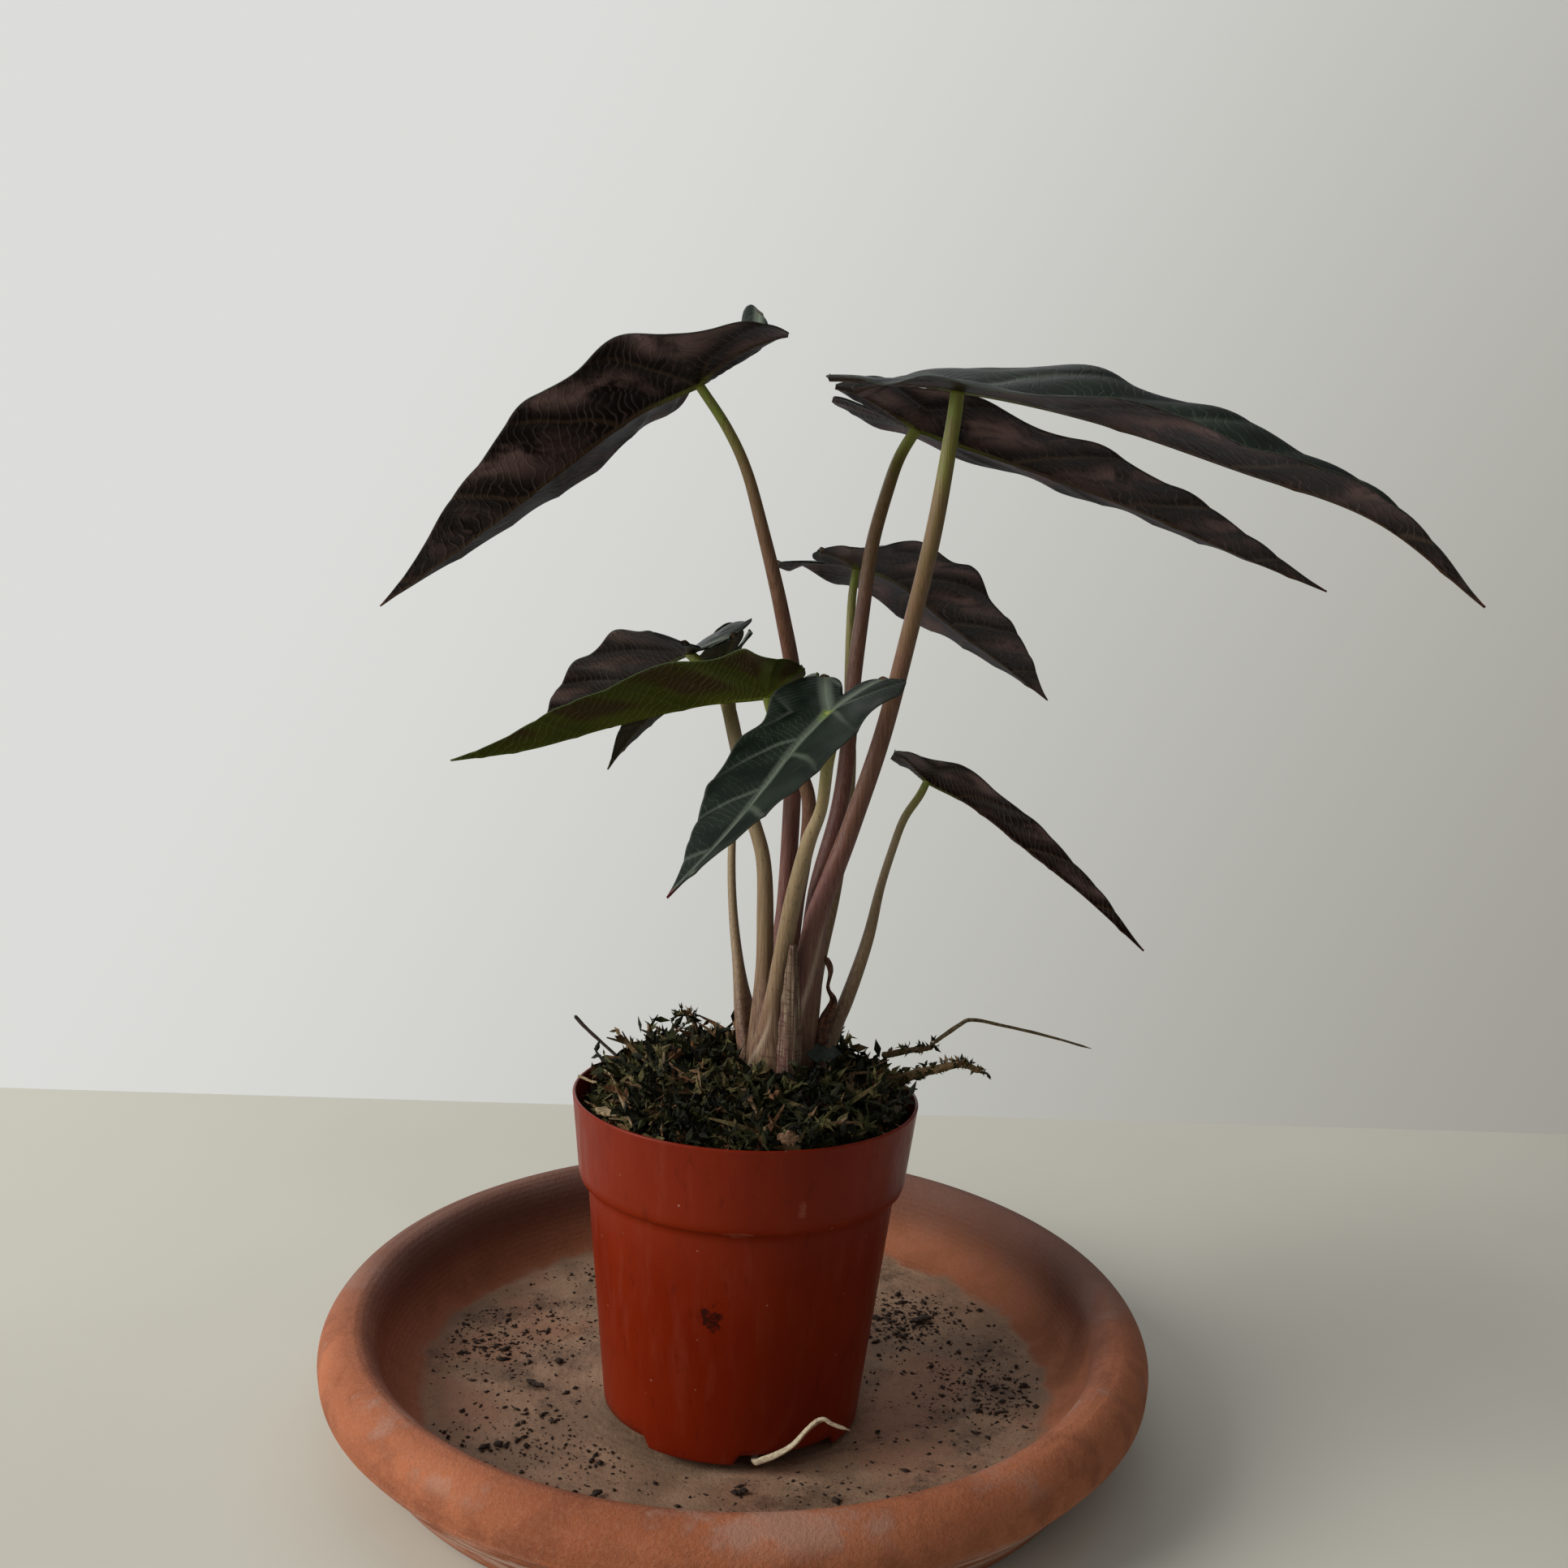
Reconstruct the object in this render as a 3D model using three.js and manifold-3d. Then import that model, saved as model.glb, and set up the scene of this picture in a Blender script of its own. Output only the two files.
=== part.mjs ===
// Potted alocasia: nine arrow-shaped leaves on upright stalks, rooted in a thin plastic nursery
// pot that stands in a wide terracotta saucer. Millimetres, +Z up. The origin is the centre of
// the saucer's underside, -Y is the front.

import * as THREE from 'three';
import { mergeVertices } from 'three/addons/utils/BufferGeometryUtils.js';
import Module from 'manifold-3d';

const wasm = await Module();
wasm.setup();

// Driving dimensions
const GAP = 0.3; // clearance left between pieces that touch
const SAUCER = {
  footRadius: 94, rollRadius: 9, rollCentre: 103, rollHeight: 22.2,
  wallFoot: 88, floorEdge: 9.8, floorCentre: 7.2,
};
const POT = {
  height: 86.2, baseRadius: 33.7, bodyTopRadius: 40.3, collarHeight: 23,
  collarFootRadius: 42.4, rimRadius: 45, wall: 0.9, floorHeight: 3, floorThickness: 1,
  base: [-0.6, -15.5, 9.3], leanRight: 1.23, leanBack: 2.44,
};
const NOTCH = { count: 4, first: 208, span: 46, height: 2.8 }; // degrees round the foot ring
const DRAIN_HOLE_RADIUS = 4;
const CLUMP = { x: 10, y: -11.5, radius: 13.6 }; // where the stalks leave the growing mix
const MIX = { top: 80, recessDepth: 26 };
const MOUND = { foot: 80.4, edge: 84.6, crown: 94.2, radius: 42.4, fall: 2.2, lump: 0.9 };
const TUFTS = [ // heaped moss, in the pot's own frame
  { x: 37, y: 12, rise: 7, reach: 7 },
  { x: -26, y: 19, rise: 7, reach: 4.5 },
];
const RHIZOME = { top: 93.2, length: 24, radius: 12.4 };
const STALK_FOOT = RHIZOME.top + 2 * GAP;
const BLADE_THICKNESS = 1;
const STALK_SIDES = 8;
const ROUND_SIDES = 56; // facets round the saucer and the pot
const LOBE_SHARE = 0.27; // the lobes' length against the blade's
const FLATTEN_FROM = 0.4; // a blade that flattens towards its lobes starts here
const FLATTEN_OVER = 0.4;
const CURL_FROM = 0.72; // how far back along a lobe its end starts to curl up

// Colours of the blades, as the side that is seen, and of the stalks
const DARK_BLADE = 0x33222a;
const GREEN_BLADE = 0x1f2d28;
const OLIVE_BLADE = 0x4a4a1f;
const RED_STALK = 0x6d4a40;
const OLIVE_STALK = 0x8a7c4e;

// Outline of half a blade: how far along (-1 lobe end, 0 stalk, 1 tip) and how far out, in half widths
const OUTER_EDGE = [
  [-1, 0.42], [-0.98, 0.56], [-0.85, 0.74], [-0.6, 0.9], [-0.3, 0.98], [0, 1], [0.15, 0.98],
  [0.3, 0.92], [0.45, 0.82], [0.6, 0.66], [0.75, 0.45], [0.87, 0.22], [0.95, 0.08], [1, 0],
];
const INNER_EDGE = [
  [-1, 0.42], [-0.98, 0.3], [-0.85, 0.18], [-0.65, 0.07], [-0.5, 0], [-0.2, 0], [0.05, 0],
  [0.2, 0], [0.35, 0], [0.5, 0], [0.65, 0], [0.8, 0], [0.92, 0], [1, 0],
];
const SINUS_ROW = 4; // the row from which both halves share the midrib

// Each leaf: the spine runs from the lobes' end through the stalk's seat to the tip. Pairs are
// left and right, looking from the seat to the tip; fold and roll are degrees, lift, curl and
// ruffle millimetres. The stalk lists its course from under the blade down to the clump.
const LEAVES = [
  {
    name: 'upper_left', blade: DARK_BLADE, stem: RED_STALK,
    spine: [[5, -4, 288], [-15, -7, 276], [-31, -4, 268], [-50, 4, 254], [-74, 18, 236],
      [-104, 37, 215]],
    width: 27, roll: [-12, -12], fold: [18, 17], cup: 0, lift: [-13, -9], curl: [0, 9],
    waves: 3.2, ruffle: 1.6, scallop: 0.03, phase: [0.85, 0.04],
    stalk: [[-8, -7, 266], [-3, -6, 256], [1, -5, 243], [7, -2, 220], [11, 1, 198], [11, 0, 170],
      [10, -2, 144], [8, -4, 126], [8, -4, 105], [8, -4, STALK_FOOT]],
    radii: [1.2, 1.3, 1.4, 1.6, 1.9, 2.1, 2.3, 2.2, 2.1, 2, 1.9],
  },
  {
    name: 'upper_right', blade: DARK_BLADE, stem: RED_STALK,
    spine: [[20, -18, 277], [47, -26, 276], [76, -44, 270], [107, -57, 260], [136, -64, 250],
      [161, -66, 232]],
    width: 29, roll: [-9, -12], fold: [18, 32], cup: 0.11, lift: [-13, -1], flatten: [0.3, 0.47],
    waves: 3.2, ruffle: 1.4, scallop: 0.04, phase: [0.78, 0.12],
    stalk: [[46, -26, 266], [43, -26, 244], [39, -23, 222], [33, -20, 193], [26, -19, 169],
      [22, -19, 157], [18, -18, 144], [16, -17, 125], [15, -17, 109], [15, -17, STALK_FOOT]],
    radii: [1.7, 1.8, 2, 2.1, 2.2, 2.4, 2.6, 2.6, 2.4, 2.1, 1.9],
  },
  {
    name: 'right', blade: DARK_BLADE, stem: RED_STALK,
    spine: [[19, 27, 276], [41, 26, 267], [73, 27, 257], [100, 29, 248], [128, 31, 237], [155, 33, 227]],
    width: 26, roll: [15, 13], fold: [12, 12], cup: 0.04, lift: [-3, -8],
    waves: 3.9, ruffle: 1, scallop: 0.04, phase: [0.23, 0.91],
    stalk: [[37, 25, 260], [34, 20, 252], [30, 14, 237], [28, 11, 220], [26, 7, 200], [25, 3, 183],
      [23, -1, 168], [18, -6, 148], [16, -9, 127], [15, -11, 107], [15, -11, STALK_FOOT]],
    radii: [1.5, 1.6, 1.7, 1.8, 1.9, 2, 2.1, 2.2, 2.2, 2.1, 2, 1.9],
  },
  {
    name: 'back_right', blade: GREEN_BLADE, stem: OLIVE_STALK,
    spine: [[11, 31, 231], [27, 42, 229], [41, 58, 223], [56, 73, 211], [74, 89, 198], [91, 104, 185]],
    width: 25, roll: [15, 9], fold: [20, 11], cup: 0.16, lift: [-4, -1],
    waves: 3.3, ruffle: 1.4, scallop: 0.03, phase: [0.09, 0.3],
    stalk: [[26, 40, 218], [26, 35, 195], [27, 28, 178], [26, 19, 164], [23, 7, 145], [19, 0, 125],
      [17, -4, 105], [17, -4, STALK_FOOT]],
    radii: [1.1, 1.2, 1.3, 1.4, 1.6, 1.8, 1.9, 2, 1.9],
  },
  {
    name: 'centre_left', blade: OLIVE_BLADE, stem: RED_STALK,
    spine: [[15, -21, 206], [4, -19, 201], [-13, -16, 198], [-35, -16, 192], [-55, -18, 186],
      [-74, -21, 183]],
    width: 18, roll: [-22, -32], fold: [19, 19], cup: -0.04, lift: [-4, 0],
    waves: 3, ruffle: 0.9, scallop: 0.04, phase: [0.23, 0.93],
    stalk: [[6, -17, 195], [11, -15, 185], [15, -14, 175], [15, -12, 162], [13, -11, 146],
      [11, -10, 127], [10, -11, 107], [10, -11, STALK_FOOT]],
    radii: [1.3, 1.4, 1.6, 1.8, 1.8, 1.8, 1.8, 1.8, 1.8],
  },
  {
    name: 'back_left', blade: DARK_BLADE, stem: OLIVE_STALK,
    spine: [[-11, 0, 210], [-17, 7, 208], [-29, 22, 200], [-41, 36, 191], [-52, 46, 183], [-62, 52, 175]],
    width: 20, roll: [2, 2], fold: [20, 18], cup: -0.04, lift: [-2, 0],
    waves: 3.4, ruffle: 0.8, scallop: 0.03, phase: [0.04, 0],
    stalk: [[-11, 5, 203], [-7, 3, 197], [-4, -2, 187], [0, -8, 171], [4, -11, 158], [5, -12, 142],
      [5, -12, 126], [4, -12, 107], [4, -12, STALK_FOOT]],
    radii: [1.3, 1.5, 1.8, 1.9, 1.8, 1.9, 2.2, 2.1, 2, 1.9],
  },
  {
    name: 'front', blade: GREEN_BLADE, stem: OLIVE_STALK,
    spine: [[27, -27, 209], [19, -42, 201], [11, -54, 194], [4, -70, 187], [-4, -89, 180],
      [-14, -112, 173]],
    width: 19, roll: [-7, -18], fold: [14, 2], cup: 0.05, lift: [-13, -3],
    waves: 3.3, ruffle: 0.8, scallop: 0.08, phase: [0.03, 0.63],
    stalk: [[20, -40, 195], [19, -39, 188], [18, -33, 176], [15, -29, 166], [12, -25, 151],
      [10, -22, 138], [8, -21, 124], [7, -20, 110], [7, -20, STALK_FOOT]],
    radii: [1.2, 1.4, 1.5, 1.5, 1.9, 2.2, 2.3, 2.3, 2.1, 1.9],
  },
  {
    name: 'low_right', blade: DARK_BLADE, stem: OLIVE_STALK,
    spine: [[38, 15, 182], [47, 13, 175], [59, 12, 169], [74, 11, 158], [91, 10, 145], [107, 9, 131]],
    width: 16, roll: [23, 23], fold: [13, 13], cup: 0, lift: [-4, -6],
    waves: 2.8, ruffle: 0.6, scallop: 0.04, phase: [0.28, 0.88],
    stalk: [[45, 12, 171], [41, 10, 165], [38, 7, 157], [35, 4, 147], [32, 0, 134], [27, -4, 119],
      [21, -9, 105], [20, -10, STALK_FOOT]],
    radii: [1, 1.1, 1.1, 1.1, 1.2, 1.6, 1.9, 2, 1.9],
  },
  {
    name: 'small_back', blade: GREEN_BLADE, stem: OLIVE_STALK,
    spine: [[-2, 53, 208], [-11, 54, 199], [-18, 55, 192], [-29, 56, 185], [-37, 58, 176], [-43, 59, 167]],
    width: 10, roll: [-25, -25], fold: [12, 12], cup: 0, lift: [4, 5],
    waves: 3.1, ruffle: 0.5, scallop: 0.04, phase: [0.74, 0.21],
    stalk: [[-7, 50, 191], [-6, 45, 183], [-5, 36, 170], [-5, 23, 151], [-4, 13, 138], [-2, 3, 126],
      [0, -2, 115], [2, -5, 104], [2, -5, STALK_FOOT]],
    radii: [0.9, 0.9, 1, 1, 1.1, 1.2, 1.5, 1.9, 2, 1.9],
  },
];

// Slender loose pieces: round pieces with a course and a radius at each end
const STRANDS = [
  {
    name: 'drain_root', colour: 0xe6dcc0, radius: [1.05, 0.5],
    course: [[7, -41, 11.2], [6.4, -47.8, 11.4], [8.6, -48.6, 12.4], [11.7, -49, 14], [15.7, -49, 16.7],
      [19, -49, 20.6], [21.6, -49, 23.2], [23.6, -49, 24], [25.7, -49, 22.8], [30, -49, 21.3]],
  },
  {
    name: 'dried_stem_long', colour: 0x6b5c3c, radius: [0.7, 0.35],
    course: [[50.5, 0.5, 105.8], [57, -2, 112], [60.7, -2, 113.7], [69.9, 0, 111.4], [82, 3, 108],
      [94, 6, 104]],
  },
  {
    name: 'dark_strand', colour: 0x3f3a2e, radius: [0.6, 0.5],
    course: [[-46.8, 14, 106.4], [-41.2, 12, 101.5], [-34, 8, 96.9]],
  },
  {
    name: 'straw_arc', colour: 0xb09a6a, radius: [0.5, 0.5],
    course: [[-38.5, 1, 97.6], [-34.2, -14, 99.6], [-29.7, -31, 100], [-25.6, -46, 98.6]],
  },
  {
    name: 'straw_short', colour: 0x9a8358, radius: [0.45, 0.4],
    course: [[-43, -9.5, 97.6], [-39, -15, 98.3], [-35.8, -19, 99.1]],
  },
  {
    name: 'straw_front', colour: 0x9c8a62, radius: [0.6, 0.4],
    course: [[1.5, -25.8, 104.2], [8, -26.6, 104], [15, -28, 104]],
  },
  {
    name: 'curved_stem', colour: 0x5f4d33, radius: [0.5, 0.4],
    course: [[-20.3, -12, 106.4], [-20, -20, 103.4], [-21.1, -31, 101.8], [-24.4, -34.5, 100.6]],
  },
  {
    name: 'twig_right', colour: 0x4a3f2b, radius: [1, 0.8],
    course: [[37, 0, 102.4], [44, 1, 103.4], [51, 2, 104.5]],
  },
  {
    name: 'moss_branch', colour: 0x4c4527, radius: [1.6, 0.8],
    course: [[41, -6, 97.6], [45, -9, 100.4], [50, -12, 103], [57, -14, 105.6], [62, -15, 103.8]],
  },
  {
    name: 'moss_curl', colour: 0x4f4326, radius: [0.8, 0.4],
    course: [[-14, 9, 101.4], [-13.4, 10, 104.4], [-14.4, 11, 107.5], [-16.6, 11, 109.4], [-18.4, 11, 108.2]],
  },
  {
    name: 'dead_sheath', colour: 0x3b2114, radius: [1.2, 0.5],
    course: [[20.6, -16.3, 110], [20.7, -15.6, 116], [23, -15, 121.7], [21.6, -15, 125.5], [22, -15, 130],
      [20.6, -16, 134]],
  },
  {
    name: 'leaf_scrap_stub', colour: 0x51603f, radius: [0.9, 0.7],
    course: [[17.2, -28, 103.9], [17.9, -26.8, 105.6], [19, -25.6, 107.2]],
  },
];

// Flat loose pieces: centre, half length, half width, thickness, turn round Z and tilt, degrees
const CHIPS = [
  {
    name: 'bark_band', colour: 0x5a4330, centre: [-12, 5, 103],
    half: [7.5, 1.8], thick: 1, turn: 6, tilt: 30,
  },
  {
    name: 'bark_strip', colour: 0x5e4a35, centre: [38.6, -28, 96.8],
    half: [6.5, 1.5], thick: 0.8, turn: 67, tilt: 20,
  },
  {
    name: 'fibre_block', colour: 0x8a6a4c, centre: [12.3, -53, 99.4],
    half: [2.6, 2.2], thick: 1.4, turn: 4, tilt: 80,
  },
  {
    name: 'dried_tuft', colour: 0x8d7450, centre: [-32.4, -38.5, 99],
    half: [3.6, 1.8], thick: 1.4, turn: -35, tilt: 15,
  },
  {
    name: 'leaf_scrap', colour: 0x1d2b22, centre: [21, -23.5, 110.6],
    half: [4.5, 2.6], thick: 0.8, turn: 8, tilt: 62,
  },
  {
    name: 'floor_crumb_right', colour: 0x2d211a, centre: [54, 34, 9.7],
    half: [3.4, 1.8], thick: 1.4, turn: 30, tilt: 0,
  },
  {
    name: 'floor_crumb_left', colour: 0x3a2a20, centre: [-54, -9, 9.2],
    half: [3.2, 1.2], thick: 1.2, turn: -35, tilt: 0,
  },
  {
    name: 'floor_crumb_front', colour: 0x2d211a, centre: [3, -58, 9.2],
    half: [2.2, 1.2], thick: 1.2, turn: 15, tilt: 0,
  },
  {
    name: 'floor_crumb_corner', colour: 0x3a2a20, centre: [-32, -62, 9.9],
    half: [2.4, 1.2], thick: 1.2, turn: 60, tilt: 0,
  },
];

const PAPERY_SHEATH = {
  foot: [12.2, -26.6, 105.4], height: 34, halfWidth: 3, tipShare: 0.2, curve: 2.2, thick: 0.8,
};

const rad = THREE.MathUtils.degToRad;

function paint(colour, roughness, metalness = 0) {
  return new THREE.MeshStandardMaterial({ color: colour, roughness, metalness });
}

// Joins equal corners, so that the surface is one closed skin, and drops flattened triangles
function weld(geometry) {
  geometry.deleteAttribute('normal');
  geometry.deleteAttribute('uv');
  const welded = mergeVertices(geometry, 1e-4);
  const index = [];
  for (let i = 0; i < welded.index.count; i += 3) {
    const a = welded.index.getX(i);
    const b = welded.index.getX(i + 1);
    const c = welded.index.getX(i + 2);
    if (a !== b && b !== c && c !== a) index.push(a, b, c);
  }
  welded.setIndex(index);
  return welded;
}

function toSolid(geometry) {
  const welded = weld(geometry.clone());
  return new wasm.Manifold(new wasm.Mesh({
    numProp: 3,
    vertProperties: new Float32Array(welded.attributes.position.array),
    triVerts: new Uint32Array(welded.index.array),
  }));
}

function toGeometry(solid) {
  const mesh = solid.getMesh();
  const geometry = new THREE.BufferGeometry();
  geometry.setAttribute('position', new THREE.BufferAttribute(mesh.vertProperties, 3));
  geometry.setIndex(new THREE.BufferAttribute(mesh.triVerts, 1));
  geometry.computeVertexNormals();
  return geometry;
}

// Body of revolution round Z from a profile of (radius, height), listed up the outside
function turned(profile, segments) {
  const points = profile.map(([r, z]) => new THREE.Vector2(r, z));
  return weld(new THREE.LatheGeometry(points, segments).rotateX(Math.PI / 2));
}

function cylinder(radius, height, x, y, z) {
  return new THREE.CylinderGeometry(radius, radius, height, 40).rotateX(Math.PI / 2).translate(x, y, z);
}

function arc(cx, cz, radius, from, to, steps) {
  const points = [];
  for (let i = 0; i <= steps; i += 1) {
    const a = rad(from + (to - from) * (i / steps));
    points.push([cx + radius * Math.cos(a), cz + radius * Math.sin(a)]);
  }
  return points;
}

function curveOf(points) {
  const vectors = points.map((p) => new THREE.Vector3(p[0], p[1], p[2] ?? 0));
  return new THREE.CatmullRomCurve3(vectors, false, 'catmullrom', 0.5);
}

// Saucer: flat foot, flared side, thick rolled rim, inner wall down to a slightly dished floor
function saucerGeometry() {
  const s = SAUCER;
  const roll = arc(s.rollCentre, s.rollHeight, s.rollRadius, -58, 172, 10);
  const flare = [[s.footRadius, 0], [s.footRadius + 3.5, 1.6], [s.footRadius + 9, 9]];
  const wall = [[s.wallFoot + 4.4, 14.5], [s.wallFoot + 2, 11.2], [s.wallFoot - 2, s.floorEdge]];
  const floor = [];
  for (const share of [0.75, 0.5, 0.25, 0]) {
    floor.push([s.wallFoot * share, s.floorCentre + (s.floorEdge - s.floorCentre) * share * share]);
  }
  return turned([[0, 0], ...flare, ...roll, ...wall, ...floor], ROUND_SIDES);
}

function potWall(z) {
  const p = POT;
  const step = p.height - p.collarHeight;
  const flare = (z - step) / p.collarHeight;
  if (flare > 0) return p.collarFootRadius + (p.rimRadius - p.collarFootRadius) * flare;
  return p.baseRadius + (p.bodyTopRadius - p.baseRadius) * (z / step);
}

// Pot: a tapered cup with a stepped collar, a raised floor, drain holes and a notched foot ring
function potGeometry() {
  const p = POT;
  const step = p.height - p.collarHeight;
  const floorTop = p.floorHeight + p.floorThickness;
  const outside = [
    [potWall(0) - p.wall, 0], [potWall(0), 0], [p.bodyTopRadius, step], [p.collarFootRadius, step + 0.8],
    [p.rimRadius, p.height - 0.6], [p.rimRadius - 0.4, p.height],
  ];
  const inside = [
    [p.rimRadius - p.wall, p.height], [p.collarFootRadius - p.wall, step + 1.8],
    [p.bodyTopRadius - p.wall, step + 1], [potWall(p.floorHeight) - p.wall - 0.6, floorTop], [0, floorTop],
  ];
  const under = [[0, p.floorHeight], [potWall(p.floorHeight) - p.wall, p.floorHeight]];
  let pot = toSolid(turned([...under, ...outside, ...inside], ROUND_SIDES));
  for (let i = 0; i < NOTCH.count; i += 1) {
    const turn = NOTCH.first + (i * 360) / NOTCH.count;
    pot = pot.subtract(toSolid(notchCutter(turn))).subtract(toSolid(drainCutter(turn)));
  }
  return toGeometry(pot);
}

// A wedge-shaped block that clears one notch of the foot ring
function notchCutter(turn) {
  const reach = POT.baseRadius + 4;
  const half = rad(NOTCH.span / 2);
  const inner = POT.baseRadius - 6;
  const shape = new THREE.Shape();
  shape.moveTo(inner * Math.cos(-half), inner * Math.sin(-half));
  shape.lineTo(reach * Math.cos(-half), reach * Math.sin(-half));
  shape.lineTo(reach * 1.12, 0);
  shape.lineTo(reach * Math.cos(half), reach * Math.sin(half));
  shape.lineTo(inner * Math.cos(half), inner * Math.sin(half));
  const block = new THREE.ExtrudeGeometry(shape, { depth: NOTCH.height + 1, bevelEnabled: false });
  return block.translate(0, 0, -1).rotateZ(rad(turn));
}

function drainCutter(turn) {
  const along = POT.baseRadius * 0.55;
  const a = rad(turn);
  return cylinder(DRAIN_HOLE_RADIUS, 8, along * Math.cos(a), along * Math.sin(a), POT.floorHeight);
}

// Growing mix: fills the pot below the moss, with a hollow where the rhizome sits
function growingMixGeometry(clumpX, clumpY) {
  const foot = POT.floorHeight + POT.floorThickness + GAP;
  const step = POT.height - POT.collarHeight;
  const margin = POT.wall + 2 * GAP;
  const profile = [
    [0, foot], [potWall(foot) - margin - 1, foot], [POT.bodyTopRadius - margin, step],
    [POT.bodyTopRadius - margin + 0.3, step + 1.2], [POT.collarFootRadius - margin, step + 3],
    [potWall(MIX.top) - margin, MIX.top], [0, MIX.top],
  ];
  const hollow = cylinder(CLUMP.radius, MIX.recessDepth * 2, clumpX, clumpY, MIX.top);
  return toGeometry(toSolid(turned(profile, 40)).subtract(toSolid(hollow)));
}

function moundHeight(x, y) {
  const angle = Math.atan2(y, x);
  const share = Math.min(Math.hypot(x, y) / MOUND.radius, 1);
  const dome = MOUND.crown - (MOUND.crown - MOUND.edge) * share ** MOUND.fall;
  const lumps = Math.sin(5 * angle + 9 * share) + Math.sin(11 * angle - 7 * share + 2);
  let height = dome + MOUND.lump * 0.5 * lumps * share * (1 - share ** 6);
  for (const tuft of TUFTS) {
    height += tuft.rise * Math.exp(-((x - tuft.x) ** 2 + (y - tuft.y) ** 2) / tuft.reach ** 2);
  }
  return height;
}

// Moss: a lumpy domed mat on top of the mix, with an opening for the stalks
function moundGeometry(clumpX, clumpY) {
  const rings = [0, 0.3, 0.45, 0.6, 0.72, 0.82, 0.91, 1].map((share) => MOUND.radius * share);
  const profile = [
    [0, MOUND.foot], [potWall(MOUND.foot) - POT.wall - GAP - 0.4, MOUND.foot],
    ...rings.reverse().map((r) => [r, MOUND.edge + 1]),
  ];
  const geometry = turned(profile, 40);
  const place = geometry.attributes.position;
  for (let i = 0; i < place.count; i += 1) {
    if (place.getZ(i) > MOUND.foot + 0.1) {
      place.setZ(i, moundHeight(place.getX(i), place.getY(i)));
    }
  }
  const opening = cylinder(CLUMP.radius, 60, clumpX, clumpY, MOUND.crown);
  return toGeometry(toSolid(geometry).subtract(toSolid(opening)));
}

function rhizomeGeometry() {
  const { top, length, radius } = RHIZOME;
  const profile = [
    [0, top - length], [radius * 0.45, top - length * 0.93], [radius * 0.82, top - length * 0.7],
    [radius, top - length * 0.4], [radius * 0.97, top - length * 0.1], [radius * 0.9, top], [0, top],
  ];
  return turned(profile, 32).translate(CLUMP.x, CLUMP.y, 0);
}

// Where a blade's spine is, and the directions along it, out to its right and up from it
function spineFrame(leaf, along) {
  const curve = curveOf(leaf.spine);
  const last = leaf.spine.length - 1;
  const station = (s) => Math.min(Math.max(s < 0 ? 1 + s : 1 + s * (last - 1), 0), last) / last;
  const step = 1e-3;
  const ahead = curve.getPoint(station(along + step));
  const tangent = ahead.sub(curve.getPoint(station(along - step))).normalize();
  const level = new THREE.Vector3().crossVectors(tangent, new THREE.Vector3(0, 0, 1)).normalize();
  const rise = new THREE.Vector3().crossVectors(level, tangent);
  const share = Math.min(Math.max(along, 0), 1);
  const roll = rad(leaf.roll[0] + (leaf.roll[1] - leaf.roll[0]) * share);
  const right = level.clone().multiplyScalar(Math.cos(roll)).addScaledVector(rise, Math.sin(roll));
  const up = rise.clone().multiplyScalar(Math.cos(roll)).addScaledVector(level, -Math.sin(roll));
  return { point: curve.getPoint(station(along)), tangent, right, up };
}

// A point of the blade's middle surface; side is -1 left or 1 right, out is in half widths
function bladePoint(leaf, along, out, side) {
  const { point, right, up } = spineFrame(leaf, along);
  const half = side < 0 ? 0 : 1;
  const calm = Math.min(Math.max((FLATTEN_FROM - along) / FLATTEN_OVER, 0), 1);
  const fold = rad(leaf.fold[half]) * (1 - (leaf.flatten?.[half] ?? 0) * calm);
  const run = along < 0 ? LOBE_SHARE * along : along;
  const wave = 2 * Math.PI * (leaf.waves * run + leaf.phase[half]);
  const scallop = 1 + leaf.scallop * out ** 2 * Math.sin(wave + 0.8);
  const across = out * leaf.width * Math.cos(fold) * scallop;
  const bend = out * leaf.width * Math.sin(fold) - leaf.cup * leaf.width * out ** 2;
  const lift = leaf.lift[half] * Math.max(-along, 0) ** 1.5 * out;
  const ending = Math.max((-along - CURL_FROM) / (1 - CURL_FROM), 0);
  const curl = (leaf.curl?.[half] ?? 0) * ending ** 1.4;
  const height = bend + leaf.ruffle * out ** 2 * Math.sin(wave) + lift + curl;
  return point.addScaledVector(right, side * across).addScaledVector(up, height);
}

// Both halves of a blade as one sheet of corners and triangles
function bladeSheet(leaf) {
  const columns = 3;
  const corners = [];
  const triangles = [];
  const seen = new Map();
  const corner = (p) => {
    const key = [p.x, p.y, p.z].map((v) => v.toFixed(3)).join();
    if (!seen.has(key)) {
      seen.set(key, corners.length);
      corners.push(p);
    }
    return seen.get(key);
  };
  for (const side of [-1, 1]) {
    const grid = OUTER_EDGE.map((outer, row) => {
      const inner = row < SINUS_ROW ? INNER_EDGE[row] : [INNER_EDGE[row][0], 0];
      const line = [];
      for (let c = 0; c <= columns; c += 1) {
        const share = c / columns;
        const along = inner[0] + (outer[0] - inner[0]) * share;
        line.push(corner(bladePoint(leaf, along, inner[1] + (outer[1] - inner[1]) * share, side)));
      }
      return line;
    });
    for (let r = 0; r + 1 < grid.length; r += 1) {
      for (let c = 0; c < columns; c += 1) {
        const quad = [grid[r][c], grid[r + 1][c], grid[r + 1][c + 1], grid[r][c + 1]];
        if (side > 0) quad.reverse();
        for (const tri of [[quad[0], quad[1], quad[2]], [quad[0], quad[2], quad[3]]]) {
          if (new Set(tri).size === 3) triangles.push(tri);
        }
      }
    }
  }
  return { corners, triangles };
}

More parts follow.
